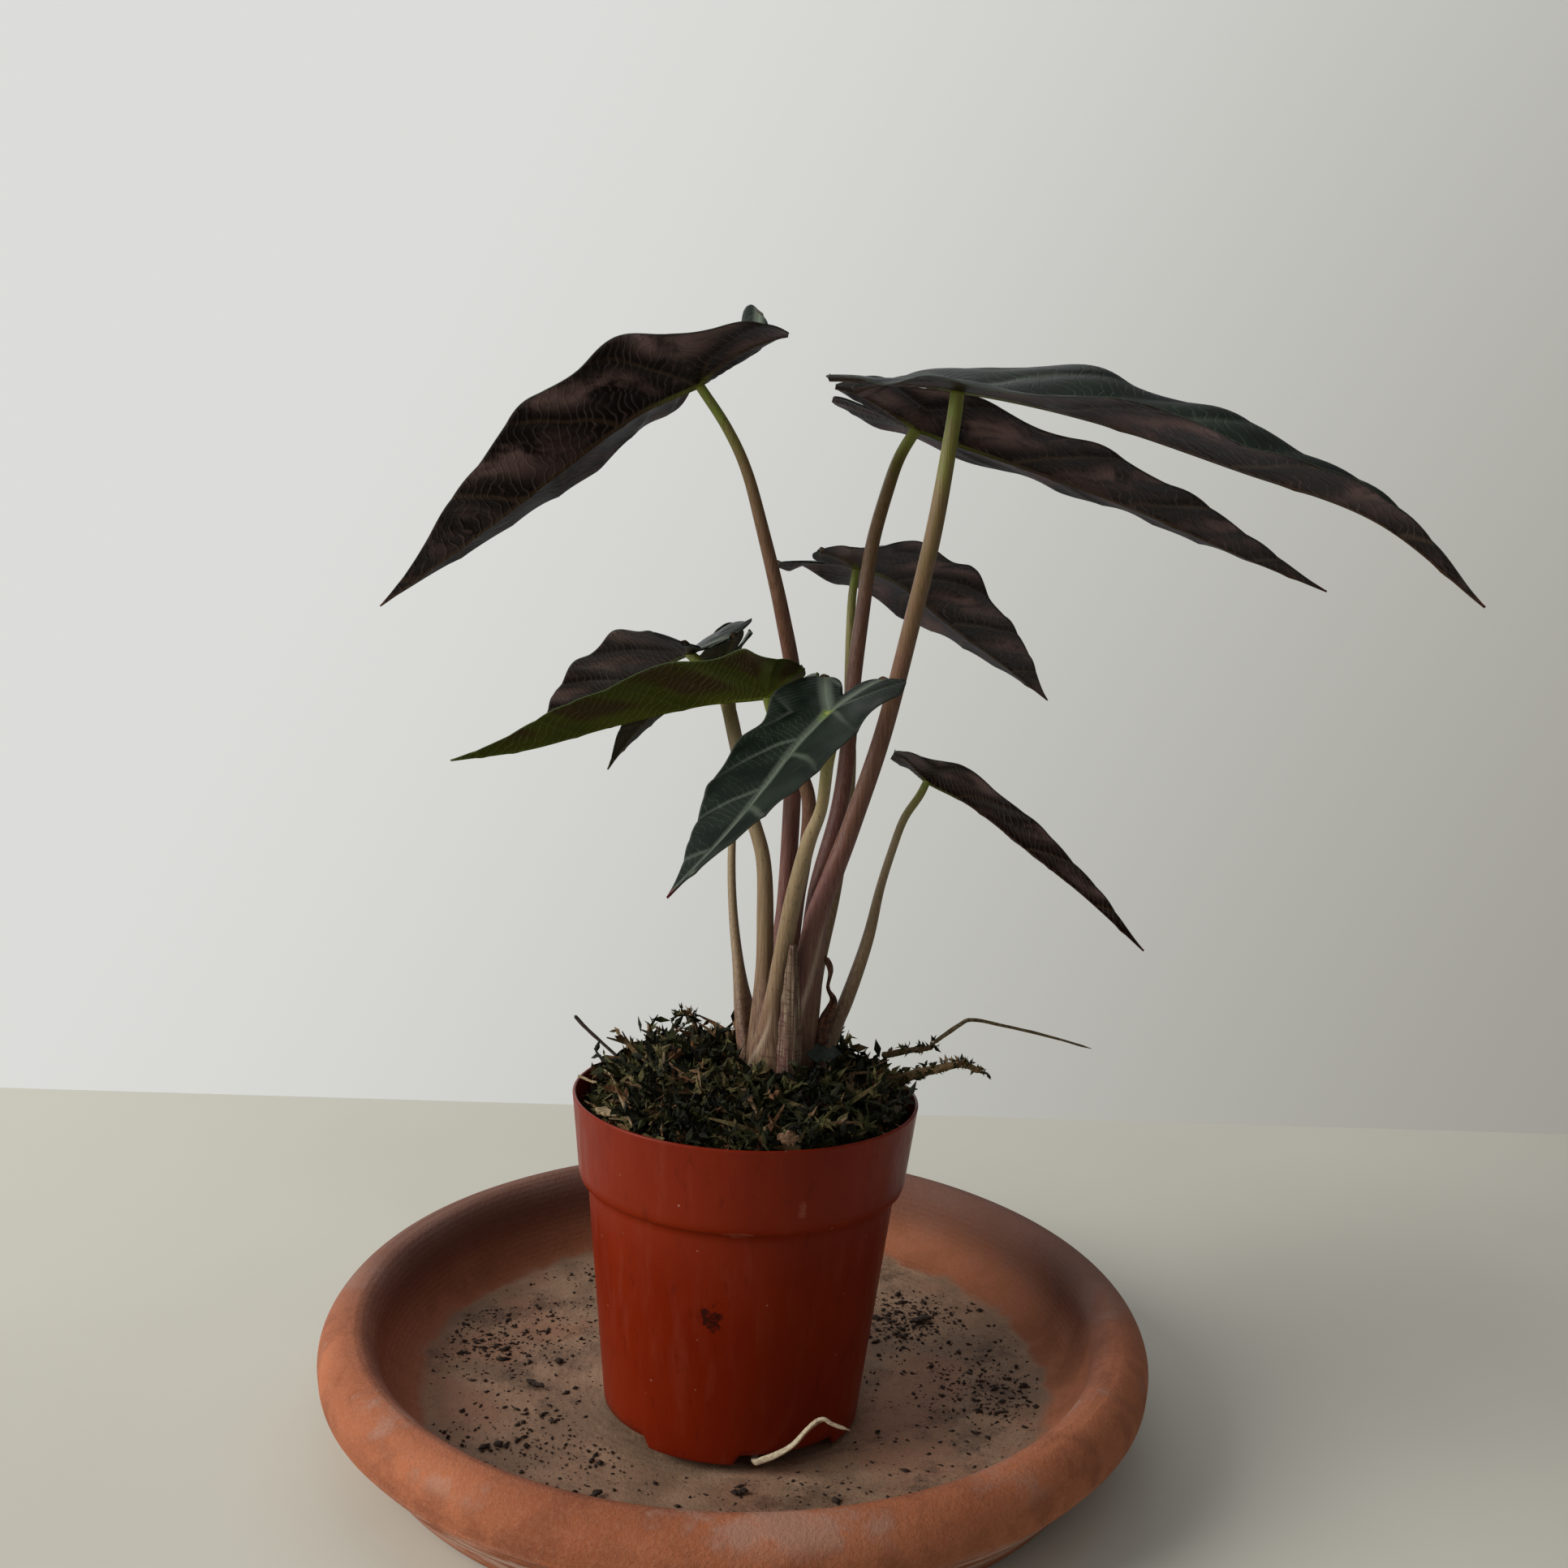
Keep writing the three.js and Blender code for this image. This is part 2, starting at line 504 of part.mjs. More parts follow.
// Gives a sheet its thickness: an upper and a lower skin, joined round every open edge
function thicken({ corners, triangles }, thickness) {
  const normals = corners.map(() => new THREE.Vector3());
  for (const [a, b, c] of triangles) {
    const ab = corners[b].clone().sub(corners[a]);
    const face = ab.cross(corners[c].clone().sub(corners[a]));
    for (const i of [a, b, c]) normals[i].add(face);
  }
  const count = corners.length;
  const position = [];
  for (const shift of [thickness / 2, -thickness / 2]) {
    corners.forEach((p, i) => {
      const moved = p.clone().addScaledVector(normals[i].clone().normalize(), shift);
      position.push(...moved.toArray());
    });
  }
  const edges = new Set();
  for (const [a, b, c] of triangles) [[a, b], [b, c], [c, a]].forEach(([i, j]) => edges.add(`${i},${j}`));
  const index = [];
  for (const [a, b, c] of triangles) index.push(a, b, c, a + count, c + count, b + count);
  for (const edge of edges) {
    const [i, j] = edge.split(',').map(Number);
    if (!edges.has(`${j},${i}`)) index.push(i, i + count, j, j, i + count, j + count);
  }
  const geometry = new THREE.BufferGeometry();
  geometry.setAttribute('position', new THREE.Float32BufferAttribute(position, 3));
  geometry.setIndex(index);
  geometry.computeVertexNormals();
  return geometry;
}

// A round piece of changing radius along a course, closed by a flat face at each end. With a
// seat the last ring lies in the plane that the seat's two directions span.
function taperedGeometry(course, radii, sides, steps, seat) {
  const curve = curveOf(course);
  const girth = curveOf(radii.map((r) => [r, 0, 0]));
  let across = new THREE.Vector3(1, 0, 0);
  const position = [];
  for (let k = 0; k <= steps; k += 1) {
    const share = k / steps;
    const centre = curve.getPoint(share);
    const tangent = curve.getTangent(share);
    const radius = girth.getPoint(share).x;
    across = across.clone().addScaledVector(tangent, -across.dot(tangent)).normalize();
    let other = new THREE.Vector3().crossVectors(tangent, across);
    let first = across;
    if (seat && k === steps) {
      first = across.clone().addScaledVector(seat.up, -across.dot(seat.up)).normalize();
      other = other.addScaledVector(seat.up, -other.dot(seat.up)).normalize();
    }
    for (let i = 0; i < sides; i += 1) {
      const a = (2 * Math.PI * i) / sides;
      const p = centre.clone().addScaledVector(first, radius * Math.cos(a));
      position.push(...p.addScaledVector(other, radius * Math.sin(a)).toArray());
    }
  }
  const index = [];
  for (let k = 0; k < steps; k += 1) {
    for (let i = 0; i < sides; i += 1) {
      const a = k * sides + i;
      const b = k * sides + ((i + 1) % sides);
      index.push(a, b, b + sides, a, b + sides, a + sides);
    }
  }
  const top = steps * sides;
  for (let i = 1; i + 1 < sides; i += 1) index.push(0, i + 1, i, top, top + i, top + i + 1);
  const geometry = new THREE.BufferGeometry();
  geometry.setAttribute('position', new THREE.Float32BufferAttribute(position, 3));
  geometry.setIndex(index);
  geometry.computeVertexNormals();
  return geometry;
}

// A stalk runs up from the rhizome and ends just under its blade's keel
function stalkGeometry(leaf) {
  const seat = spineFrame(leaf, 0);
  const top = seat.point.clone().addScaledVector(seat.up, -(BLADE_THICKNESS / 2 + GAP + 0.25));
  const course = [top.toArray(), ...leaf.stalk].reverse();
  const steps = Math.round(course.length * 2);
  return taperedGeometry(course, [...leaf.radii].reverse(), STALK_SIDES, steps, seat);
}

function strandGeometry(strand) {
  const [start, end] = strand.radius;
  const steps = (strand.course.length - 1) * 3;
  return taperedGeometry(strand.course, [start, (start + end) / 2, end], 6, steps);
}

// A loose flake: a bevelled plate with an uneven, pointed outline
function chipGeometry(chip) {
  const [long, wide] = chip.half;
  const shape = new THREE.Shape();
  shape.moveTo(-long, -wide * 0.3);
  shape.lineTo(-long * 0.4, -wide);
  shape.lineTo(long * 0.6, -wide * 0.8);
  shape.lineTo(long, wide * 0.2);
  shape.lineTo(long * 0.5, wide);
  shape.lineTo(-long * 0.6, wide * 0.8);
  const plate = new THREE.ExtrudeGeometry(shape, { depth: chip.thick, bevelEnabled: false });
  plate.translate(0, 0, -chip.thick / 2).rotateX(rad(chip.tilt)).rotateZ(rad(chip.turn));
  return plate.translate(...chip.centre);
}

// The thin dry scale that stands in front of the stalks: a pointed, slightly hollow sheet
function paperySheathGeometry() {
  const s = PAPERY_SHEATH;
  const rows = 8;
  const columns = 4;
  const corners = [];
  const triangles = [];
  for (let r = 0; r <= rows; r += 1) {
    const rise = r / rows;
    const half = s.halfWidth * (1 - (1 - s.tipShare) * rise ** 2.2);
    for (let c = 0; c <= columns; c += 1) {
      const out = (2 * c) / columns - 1;
      const hollow = s.curve * out * out * (1 - 0.6 * rise);
      const [x, y, z] = s.foot;
      corners.push(new THREE.Vector3(x + out * half, y + hollow + rise * 0.5, z + rise * s.height));
    }
  }
  for (let r = 0; r < rows; r += 1) {
    for (let c = 0; c < columns; c += 1) {
      const a = r * (columns + 1) + c;
      const b = a + columns + 1;
      triangles.push([a, a + 1, b + 1], [a, b + 1, b]);
    }
  }
  return thicken({ corners, triangles }, s.thick);
}

const group = new THREE.Group();

function add(parent, name, geometry, material) {
  const mesh = new THREE.Mesh(geometry, material);
  mesh.name = name;
  parent.add(mesh);
}

// The pot and what fills it lean together, a little back and to the right
const potGroup = new THREE.Group();
const leanAxis = new THREE.Vector3(Math.tan(rad(POT.leanRight)), Math.tan(rad(POT.leanBack)), 1).normalize();
potGroup.quaternion.setFromUnitVectors(new THREE.Vector3(0, 0, 1), leanAxis);
potGroup.position.set(...POT.base);
group.add(potGroup);
potGroup.updateMatrixWorld(true);
const clump = potGroup.worldToLocal(new THREE.Vector3(CLUMP.x, CLUMP.y, RHIZOME.top));

add(group, 'saucer', saucerGeometry(), paint(0xa85b40, 0.9));
add(potGroup, 'nursery_pot', potGeometry(), paint(0x7a2315, 0.45));
add(potGroup, 'growing_mix', growingMixGeometry(clump.x, clump.y), paint(0x2b1d14, 1));
add(potGroup, 'moss_mat', moundGeometry(clump.x, clump.y), paint(0x3b3d1c, 1));
add(group, 'rhizome', rhizomeGeometry(), paint(0x6e5238, 0.8));

for (const leaf of LEAVES) {
  add(group, `leaf_${leaf.name}`, thicken(bladeSheet(leaf), BLADE_THICKNESS), paint(leaf.blade, 0.5));
  add(group, `stalk_${leaf.name}`, stalkGeometry(leaf), paint(leaf.stem, 0.55));
}
for (const strand of STRANDS) {
  add(group, strand.name, strandGeometry(strand), paint(strand.colour, 0.8));
}
for (const chip of CHIPS) {
  add(group, chip.name, chipGeometry(chip), paint(chip.colour, 0.9));
}
add(group, 'papery_sheath', paperySheathGeometry(), paint(0xa08774, 0.6));

export default group;
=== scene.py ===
import math

import bpy
import numpy as np
from mathutils import Matrix


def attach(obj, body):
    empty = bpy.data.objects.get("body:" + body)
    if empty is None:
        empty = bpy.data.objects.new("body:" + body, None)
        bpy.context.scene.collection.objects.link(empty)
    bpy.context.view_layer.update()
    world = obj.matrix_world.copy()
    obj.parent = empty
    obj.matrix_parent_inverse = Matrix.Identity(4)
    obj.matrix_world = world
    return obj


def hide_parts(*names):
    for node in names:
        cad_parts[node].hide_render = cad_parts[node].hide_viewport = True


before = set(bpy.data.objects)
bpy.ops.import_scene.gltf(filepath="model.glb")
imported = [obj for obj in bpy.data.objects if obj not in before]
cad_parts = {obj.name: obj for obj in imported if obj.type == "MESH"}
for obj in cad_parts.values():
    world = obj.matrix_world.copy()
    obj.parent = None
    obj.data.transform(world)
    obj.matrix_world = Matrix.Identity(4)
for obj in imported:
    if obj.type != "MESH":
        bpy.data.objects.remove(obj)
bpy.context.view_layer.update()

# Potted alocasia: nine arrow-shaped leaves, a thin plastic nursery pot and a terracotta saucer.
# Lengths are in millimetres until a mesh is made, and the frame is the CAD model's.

MM = 0.001

# Camera, as the photograph was taken
EYE = (8.8, -468.0, 264.7)
PITCH_DOWN = 10.8
ROLL = 1.7
LENS = 42.1
SENSOR = 36.0

# Saucer and pot, as in the CAD model
SAUCER = {"foot": 94.0, "roll": 9.0, "roll_at": (103.0, 22.2), "wall_foot": 88.0, "floor": (9.8, 7.2)}
SAUCER_SIDE = [(-1.5, 0), (1.5, .25), (4.2, 2.2), (8.2, 8), (12.3, 12.6), (13.6, 14.6)]  # from the foot
SAUCER_GROOVE = [(107.2, 14.9), (107.6, 15.15)]
SAUCER_WALL = [(95.2, 18.4), (92.6, 14.2), (89.6, 11.4), (86.4, 10.1), (83, 9.6)]
ROLL_INSIDE = 0.74  # how far the roll bulges inwards, against outwards
ROLL_ARC = (-50, 170, 90)  # its first and last angle, and its points
RIDGES = [(-22, 5, 0.4), (-33, 4, -0.55)]  # angle, spread and height of the fine line under the roll
POT = {"height": 86.2, "base": 33.7, "body_top": 40.3, "collar": 23.0, "collar_foot": 42.4,
       "rim": 45.0, "wall": 0.9, "floor": 3.0, "place": (-0.6, -15.5, 9.3), "lean": (1.23, 2.44)}
POT_SHOULDER = [(40.5, 0), (40.9, .25), (41.7, .4), (42.2, .7), (42.45, 1.3)]  # radius, height over the step
LIP = 0.45
NOTCH = {"count": 4, "first": 208.0, "span": 46.0, "height": 2.8}
DRAIN = {"radius": 4, "out": 0.55, "from": -1.5, "to": 7}
CLUMP = (10.0, -11.5)
MOUND = {"foot": 80.4, "edge": 84.6, "crown": 94.2, "radius": 42.4, "fall": 2.2, "lump": 0.9}
TUFTS = [(37.0, 12.0, 7.0, 7.0), (-26.0, 19.0, 7.0, 4.5)]  # x, y, rise, reach
BARE = {"radius": 8, "shift": (-2.0, -3.9)}  # no moss round the foot of the stalks
SPRIG = {"count": 2300, "length": (3.5, 12.5), "rise": (-14, 42), "leaflets": 7, "tall": 0.93, "up": 0.5}
SCRAP = {"count": 300, "length": (5, 15), "rise": (-8, 30), "leaflets": 2, "size": 0.7, "above": 1.2,
         "tones": [0.66, 0.78, 0.86, 0.95]}
STALK_FOOT = 93.8
SHEATH = {"wing": 0.35, "wrap": (1.35, 1.3), "fades": 3.4, "groove": 0.2, "ripple": 0.05, "ripples": 9,
          "margin": 0.13}
ROUND = 256  # facets round the saucer and the pot

# Outline of half a blade: how far along, and how far out in half widths
OUTER_EDGE = [(-1, .42), (-.985, .59), (-.87, .78), (-.6, .92), (-.3, .98), (0, 1), (.15, .98),
              (.3, .92), (.45, .82), (.6, .66), (.75, .44), (.87, .2), (.95, .065), (1, 0)]
INNER_EDGE = [(-1, .42), (-.985, .26), (-.87, .14), (-.65, .05), (-.5, 0), (-.2, 0), (.05, 0),
              (.2, 0), (.35, 0), (.5, 0), (.65, 0), (.8, 0), (.92, 0), (1, 0)]
SINUS_ROW = 4
LOBE_SHARE = 0.27
FLATTEN_FROM = 0.4
FLATTEN_OVER = 0.4
CURL_FROM = 0.64
BLADE_ROWS = 130
BLADE_COLUMNS = 22
BLADE_THICK = 0.46
BULGE = {"panel": 1.05, "uneven": 0.55, "full_width": 27}  # how far panels stand out, and on which half width
ABOVE = {"rib": -0.22, "side": -0.12}  # veins sink into the upper side
BELOW = {"rib": 0.55, "side": 0.22}  # and stand out from the lower
EDGE_THINS = 0.45
VEIN_SPACING = 0.3
VEIN_SLOPE = 0.24
VEIN_BEND = 1.3
HALF_SHIFT = 0.35  # the two halves have their veins a little apart
LOBE_RIB = (0.42, 0.9)  # the rib of a lobe leaves the middle
FIRST_VEIN = (-0.35, 0.05)
FINE = {"along": 38.0, "out": 7.5, "stray": 4.5, "step": 0.37}  # fine veins across the panels

# Each leaf: the course of its midrib, half width, turn about it, fold of each half and their lifts,
# then its stalk from the blade down, with the sheath as its top, width, depth and power

LEAVES = [
    {"name": "upper_left", "skin": "dark", "stem": "red", "slot": "leaf_dark",
     "spine": [(5, -4, 288), (-15, -7, 276), (-31, -4, 268), (-50, 4, 254), (-74, 18, 236),
               (-104, 37, 215)],
     "width": 27, "roll": (-12, -12), "fold": (18, 17), "cup": 0, "lift": (-13, -7), "curl": (0, 11.5),
     "wave": (3.2, 1.6, .03), "phase": (.85, .04),
     "stalk": [(-8, -7, 266), (-3, -6, 256), (1, -5, 243), (7, -2, 220), (11, 1, 198), (11, 0, 170),
               (10, -2, 144), (8, -4, 126), (8, -4, 105), (8, -4, STALK_FOOT)],
     "radii": [1.2, 1.3, 1.4, 1.6, 1.9, 2.1, 2.3, 2.2, 2.1, 2, 1.9], "sheath": (138, 1.6, 0.5, 1.0)},
    {"name": "upper_right", "skin": "dark", "stem": "red", "slot": "leaf_dark",
     "spine": [(20, -18, 277), (47, -26, 276), (76, -44, 270), (107, -57, 260), (136, -64, 250),
               (161, -66, 232)],
     "width": 29, "roll": (-9, -12), "fold": (18, 32), "cup": .11, "lift": (-13, -1),
     "flatten": (.3, .47), "wave": (3.2, 1.4, .04), "phase": (.78, .12),
     "stalk": [(46, -26, 266), (43, -26, 244), (39, -23, 222), (33, -20, 193), (26, -19, 169),
               (22, -19, 157), (18, -18, 144), (16, -17, 125), (15, -17, 109), (15, -17, STALK_FOOT)],
     "radii": [1.7, 1.8, 2, 2.1, 2.2, 2.4, 2.6, 2.6, 2.4, 2.1, 1.9], "sheath": (152, 2.2, 0.6, 0.8)},
    {"name": "right", "skin": "dark", "stem": "red", "slot": "leaf_dark",
     "spine": [(19, 27, 276), (41, 26, 267), (73, 27, 257), (100, 29, 248), (128, 31, 237), (155, 33, 227)],
     "width": 26, "roll": (15, 13), "fold": (12, 12), "cup": .04, "lift": (-3, -8),
     "wave": (3.9, 1, .04), "phase": (.23, .91),
     "stalk": [(37, 25, 260), (34, 20, 252), (30, 14, 237), (28, 11, 220), (26, 7, 200), (25, 3, 183),
               (23, -1, 168), (18, -6, 148), (16, -9, 127), (15, -11, 107), (15, -11, STALK_FOOT)],
     "radii": [1.5, 1.6, 1.7, 1.8, 1.9, 2, 2.1, 2.2, 2.2, 2.1, 2, 1.9], "sheath": (146, 1.6, 0.5, 1.0)},
    {"name": "back_right", "skin": "dark", "stem": "olive", "slot": "leaf_green",
     "spine": [(11, 31, 231), (27, 42, 229), (41, 58, 223), (56, 73, 211), (74, 89, 198), (91, 104, 185)],
     "width": 25, "roll": (15, 9), "fold": (20, 11), "cup": .16, "lift": (-4, -1),
     "wave": (3.3, 1.4, .03), "phase": (.09, .3),
     "stalk": [(26, 40, 218), (26, 35, 195), (27, 28, 178), (26, 19, 164), (23, 7, 145), (19, 0, 125),
               (17, -4, 105), (17, -4, STALK_FOOT)],
     "radii": [1.1, 1.2, 1.3, 1.4, 1.6, 1.8, 1.9, 2, 1.9], "sheath": (125, 0.9, 0.3, 1.0)},
    {"name": "centre_left", "skin": "olive", "stem": "red", "slot": "leaf_olive",
     "spine": [(15, -21, 206), (4, -19, 201), (-13, -16, 198), (-35, -16, 192), (-55, -18, 186),
               (-74, -21, 183)],
     "width": 18, "roll": (-22, -32), "fold": (19, 19), "cup": -.04, "lift": (-4, 0),
     "wave": (3, .9, .04), "phase": (.23, .93),
     "stalk": [(6, -17, 195), (11, -15, 185), (15, -14, 175), (15, -12, 162), (13, -11, 146),
               (11, -10, 127), (10, -11, 107), (10, -11, STALK_FOOT)],
     "radii": [1.3, 1.4, 1.6, 1.8, 1.8, 1.8, 1.8, 1.8, 1.8], "sheath": (150, 1.8, 0.5, 0.9)},
    {"name": "back_left", "skin": "dark", "stem": "olive", "slot": "leaf_dark",
     "spine": [(-11, 0, 210), (-17, 7, 208), (-29, 22, 200), (-41, 36, 191), (-52, 46, 183), (-62, 52, 175)],
     "width": 20, "roll": (2, 2), "fold": (20, 18), "cup": -.04, "lift": (-2, 0),
     "wave": (3.4, .8, .03), "phase": (.04, 0),
     "stalk": [(-11, 5, 203), (-7, 3, 197), (-4, -2, 187), (0, -8, 171), (4, -11, 158), (5, -12, 142),
               (5, -12, 126), (4, -12, 107), (4, -12, STALK_FOOT)],
     "radii": [1.3, 1.5, 1.8, 1.9, 1.8, 1.9, 2.2, 2.1, 2, 1.9], "sheath": (138, 1.9, 0.5, 0.9)},
    {"name": "front", "skin": "dark", "stem": "olive", "slot": "leaf_green",
     "spine": [(27, -27, 209), (19, -42, 201), (11, -54, 194), (4, -70, 187), (-4, -89, 180),
               (-14, -112, 173)],
     "width": 19, "roll": (-7, -18), "fold": (14, 2), "cup": .05, "lift": (-4, 3), "lobe": .76,
     "wave": (3.3, .8, .03), "phase": (.03, .63),
     "stalk": [(20, -40, 195), (19, -39, 188), (18, -33, 176), (15, -29, 166), (12, -25, 151),
               (10, -22, 138), (8, -21, 124), (7, -20, 110), (7, -20, STALK_FOOT)],
     "radii": [1.2, 1.4, 1.5, 1.5, 1.9, 2.2, 2.3, 2.3, 2.1, 1.9], "sheath": (130, 3.4, 1.2, 1.5)},
    {"name": "low_right", "skin": "dark", "stem": "olive", "slot": "leaf_dark",
     "spine": [(38, 15, 182), (47, 13, 175), (59, 12, 169), (74, 11, 158), (91, 10, 145), (107, 9, 131)],
     "width": 16, "roll": (23, 23), "fold": (13, 13), "cup": 0, "lift": (-4, -6),
     "wave": (2.8, .6, .04), "phase": (.28, .88),
     "stalk": [(45, 12, 171), (41, 10, 165), (38, 7, 157), (35, 4, 147), (32, 0, 134), (27, -4, 119),
               (21, -9, 105), (20, -10, STALK_FOOT)],
     "radii": [1, 1.1, 1.1, 1.1, 1.2, 1.6, 1.9, 2, 1.9], "sheath": (120, 1.6, 0.5, 1.2)},
    {"name": "small_back", "skin": "green", "stem": "olive", "slot": "leaf_green",
     "spine": [(-2, 53, 208), (-11, 54, 199), (-18, 55, 192), (-29, 56, 185), (-37, 58, 176), (-43, 59, 167)],
     "width": 10, "roll": (-25, -25), "fold": (12, 12), "cup": 0, "lift": (4, 5),
     "wave": (3.1, .5, .04), "phase": (.74, .21),
     "stalk": [(-7, 50, 191), (-6, 45, 183), (-5, 36, 170), (-5, 23, 151), (-4, 13, 138), (-2, 3, 126),
               (0, -2, 115), (2, -5, 104), (2, -5, STALK_FOOT)],
     "radii": [.9, .9, 1, 1, 1.1, 1.2, 1.5, 1.9, 2, 1.9], "sheath": (130, 1.8, 0.6, 1.0)},
]

# Loose round pieces: finish, slot, radius at each end and course
STRANDS = {
    "drain_root": ("root", "pale_root", (1.05, .5),
                   [(7, -41, 11.2), (6.4, -47.8, 11.4), (8.6, -48.6, 12.4), (11.7, -49, 14),
                    (15.7, -49, 16.7), (19, -49, 20.6), (21.6, -49, 23.2), (23.6, -49, 24),
                    (25.7, -49, 22.8), (30, -49, 21.3)]),
    "dried_stem_long": ("straw_dark", "dry_strand", (.7, .35),
                        [(50.5, .5, 105.8), (57, -2, 112), (60.7, -2, 113.7), (69.9, 0, 111.4), (82, 3, 108),
                         (94, 6, 104)]),
    "dark_strand": ("peat", "dry_strand", (.6, .5), [(-46.8, 14, 106.4), (-41.2, 12, 101.5), (-34, 8, 96.9)]),
    "straw_arc": ("straw", "dry_strand", (.5, .5),
                  [(-38.5, 1, 97.6), (-34.2, -14, 99.6), (-29.7, -31, 100), (-25.6, -46, 98.6)]),
    "straw_short": ("straw", "dry_strand", (.45, .4),
                    [(-43, -9.5, 97.6), (-39, -15, 98.3), (-35.8, -19, 99.1)]),
    "straw_front": ("straw", "dry_strand", (.6, .4), [(1.5, -25.8, 104.2), (8, -26.6, 104), (15, -28, 104)]),
    "curved_stem": ("straw_dark", "dry_strand", (.5, .4),
                    [(-20.3, -12, 106.4), (-20, -20, 103.4), (-21.1, -31, 101.8), (-24.4, -34.5, 100.6)]),
    "twig_right": ("bark", "bark", (1, .8), [(37, 0, 102.4), (44, 1, 103.4), (51, 2, 104.5)]),
    "moss_branch": ("bark", "moss", (1.6, .8),
                    [(41, -6, 97.6), (45, -9, 100.4), (50, -12, 103), (57, -14, 105.6), (62, -15, 103.8)]),
    "moss_curl": ("bark", "moss", (.8, .4),
                  [(-14, 9, 101.4), (-13.4, 10, 104.4), (-14.4, 11, 107.5), (-16.6, 11, 109.4),
                   (-18.4, 11, 108.2)]),
    "dead_sheath": ("dead", "papery_scale", (1.2, .5),
                    [(20.6, -16.3, 110), (20.7, -15.6, 116), (23, -15, 121.7), (21.6, -15, 125.5),
                     (22, -15, 130), (20.6, -16, 134)]),
    "leaf_scrap_stub": ("scrap", "stalk_olive", (.9, .7),
                        [(17.2, -28, 103.9), (17.9, -26.8, 105.6), (19, -25.6, 107.2)]),
}
MOSSY = {"moss_branch": 46, "moss_curl": 20, "twig_right": 16}  # strands with moss on them, and its sprigs

# Loose flakes: finish, slot, centre, half length and width, thickness, turn and tilt
CHIPS = {
    "bark_band": ("bark", "bark", (-12, 5, 103), (7.5, 1.8), 1, 6, 30),
    "bark_strip": ("bark", "bark", (38.6, -28, 96.8), (6.5, 1.5), .8, 67, 20),
    "fibre_block": ("rust", "bark", (12.3, -53, 99.4), (2.6, 2.2), 1.4, 4, 80),
    "dried_tuft": ("straw", "dry_strand", (-32.4, -38.5, 99), (3.6, 1.8), 1.4, -35, 15),
    "leaf_scrap": ("scrap", "leaf_green", (21, -23.5, 110.6), (4.5, 2.6), .8, 8, 62),
    "floor_crumb_right": ("peat", "bark", (54, 34, 9.7), (3.4, 1.8), 1.4, 30, 0),
    "floor_crumb_left": ("peat", "bark", (-54, -9, 9.2), (3.2, 1.2), 1.2, -35, 0),
    "floor_crumb_front": ("peat", "bark", (3, -58, 9.2), (2.2, 1.2), 1.2, 15, 0),
    "floor_crumb_corner": ("peat", "bark", (-32, -62, 9.9), (2.4, 1.2), 1.2, 60, 0),
}
PAPERY = {"foot": (12.2, -26.6, 105.4), "height": 34, "half": 3, "tip": .2, "curve": 2.2, "thick": .5}

# Peat on the saucer's floor: middle of each drift, its reach and its share of the crumbs
DRIFTS = [(48, 36, 13, .13), (68, -6, 17, .1), (-70, 14, 17, .14), (-40, 40, 25, .1), (20, -62, 26, .06),
          (-50, -40, 26, .12), (0, 20, 60, .15), (74, -10, 40, .2)]
GRIT = {"count": 5200, "spread": 0.62, "within": 84, "beyond": 36, "least": 0.1, "usual": 0.17, "most": 1.4}

# Dried drops on the pot, as centre, size across and up, and line; and a smear of peat
DROPS = [((17.1, -55.1, 80.8), (2.3, 3.8), 0.22), ((7.8, -59.7, 95.7), (2.0, 1.2), 0.25),
         ((1.0, -58.1, 74.2), (5.0, 1.4), 0.2)]
SMEAR = {"place": (-5.3, -53.2, 50.6), "squash": 0.6, "edge": (6.4, 7.3), "ragged": 8.0}

# Colours
# lip and back are painted shade: the inner top of the roll and the back half of the saucer
CLAY = {"dark": (0.29, 0.085, 0.034), "light": (0.40, 0.13, 0.056), "fired": (0.2, 0.06, 0.028),
        "lip": (0.15, 0.05, 0.026), "grain": (0.42, 0.2, 0.12), "pore": (0.16, 0.045, 0.02),
        "bloom": (0.50, 0.33, 0.26), "back": (0.13, 0.062, 0.045), "inside": (0.25, 0.09, 0.036)}
DUST = {"dark": (0.2, 0.122, 0.074), "light": (0.32, 0.2, 0.128), "bare": (0.27, 0.12, 0.07),
        "soot": (0.055, 0.033, 0.022), "speck": (0.022, 0.013, 0.009)}
PLASTIC = {"dark": (0.15, 0.0095, 0.001), "light": (0.185, 0.015, 0.002), "sheen_streaks": (0.27, 0.06, 0.03),
           "mark": (0.36, 0.13, 0.09), "dust": (0.45, 0.24, 0.17), "smear": (0.014, 0.004, 0.003),
           "drip": (0.06, 0.004, 0.001)}
WRAPPED = {"rose": (0.115, 0.045, 0.036), "tan": (0.165, 0.11, 0.05), "line": (0.235, 0.16, 0.105),
           "nerve": (0.055, 0.02, 0.016), "cross": (0.075, 0.03, 0.02), "margin": (0.34, 0.26, 0.18)}
PAPER = {"rose": (0.105, 0.043, 0.036), "tan": (0.15, 0.1, 0.06), "line": (0.28, 0.215, 0.155),
         "nerve": (0.06, 0.024, 0.018)}
MOSS_STOPS = [
    (0.0, (0.003, 0.0035, 0.002)), (0.12, (0.006, 0.007, 0.003)), (0.3, (0.014, 0.017, 0.005)),
    (0.5, (0.038, 0.042, 0.011)), (0.66, (0.1, 0.09, 0.03)), (0.8, (0.17, 0.125, 0.055)),
    (0.9, (0.13, 0.05, 0.02)), (1.0, (0.28, 0.2, 0.11)),
]
MOSS_SHADE = (0.02, 0.016, 0.008)
LIME = (0.17, 0.22, 0.02)
LEAF_SEAT = (0.13, 0.2, 0.035)
TABLE_TONES = ((0.54, 0.525, 0.45), (0.57, 0.555, 0.48))

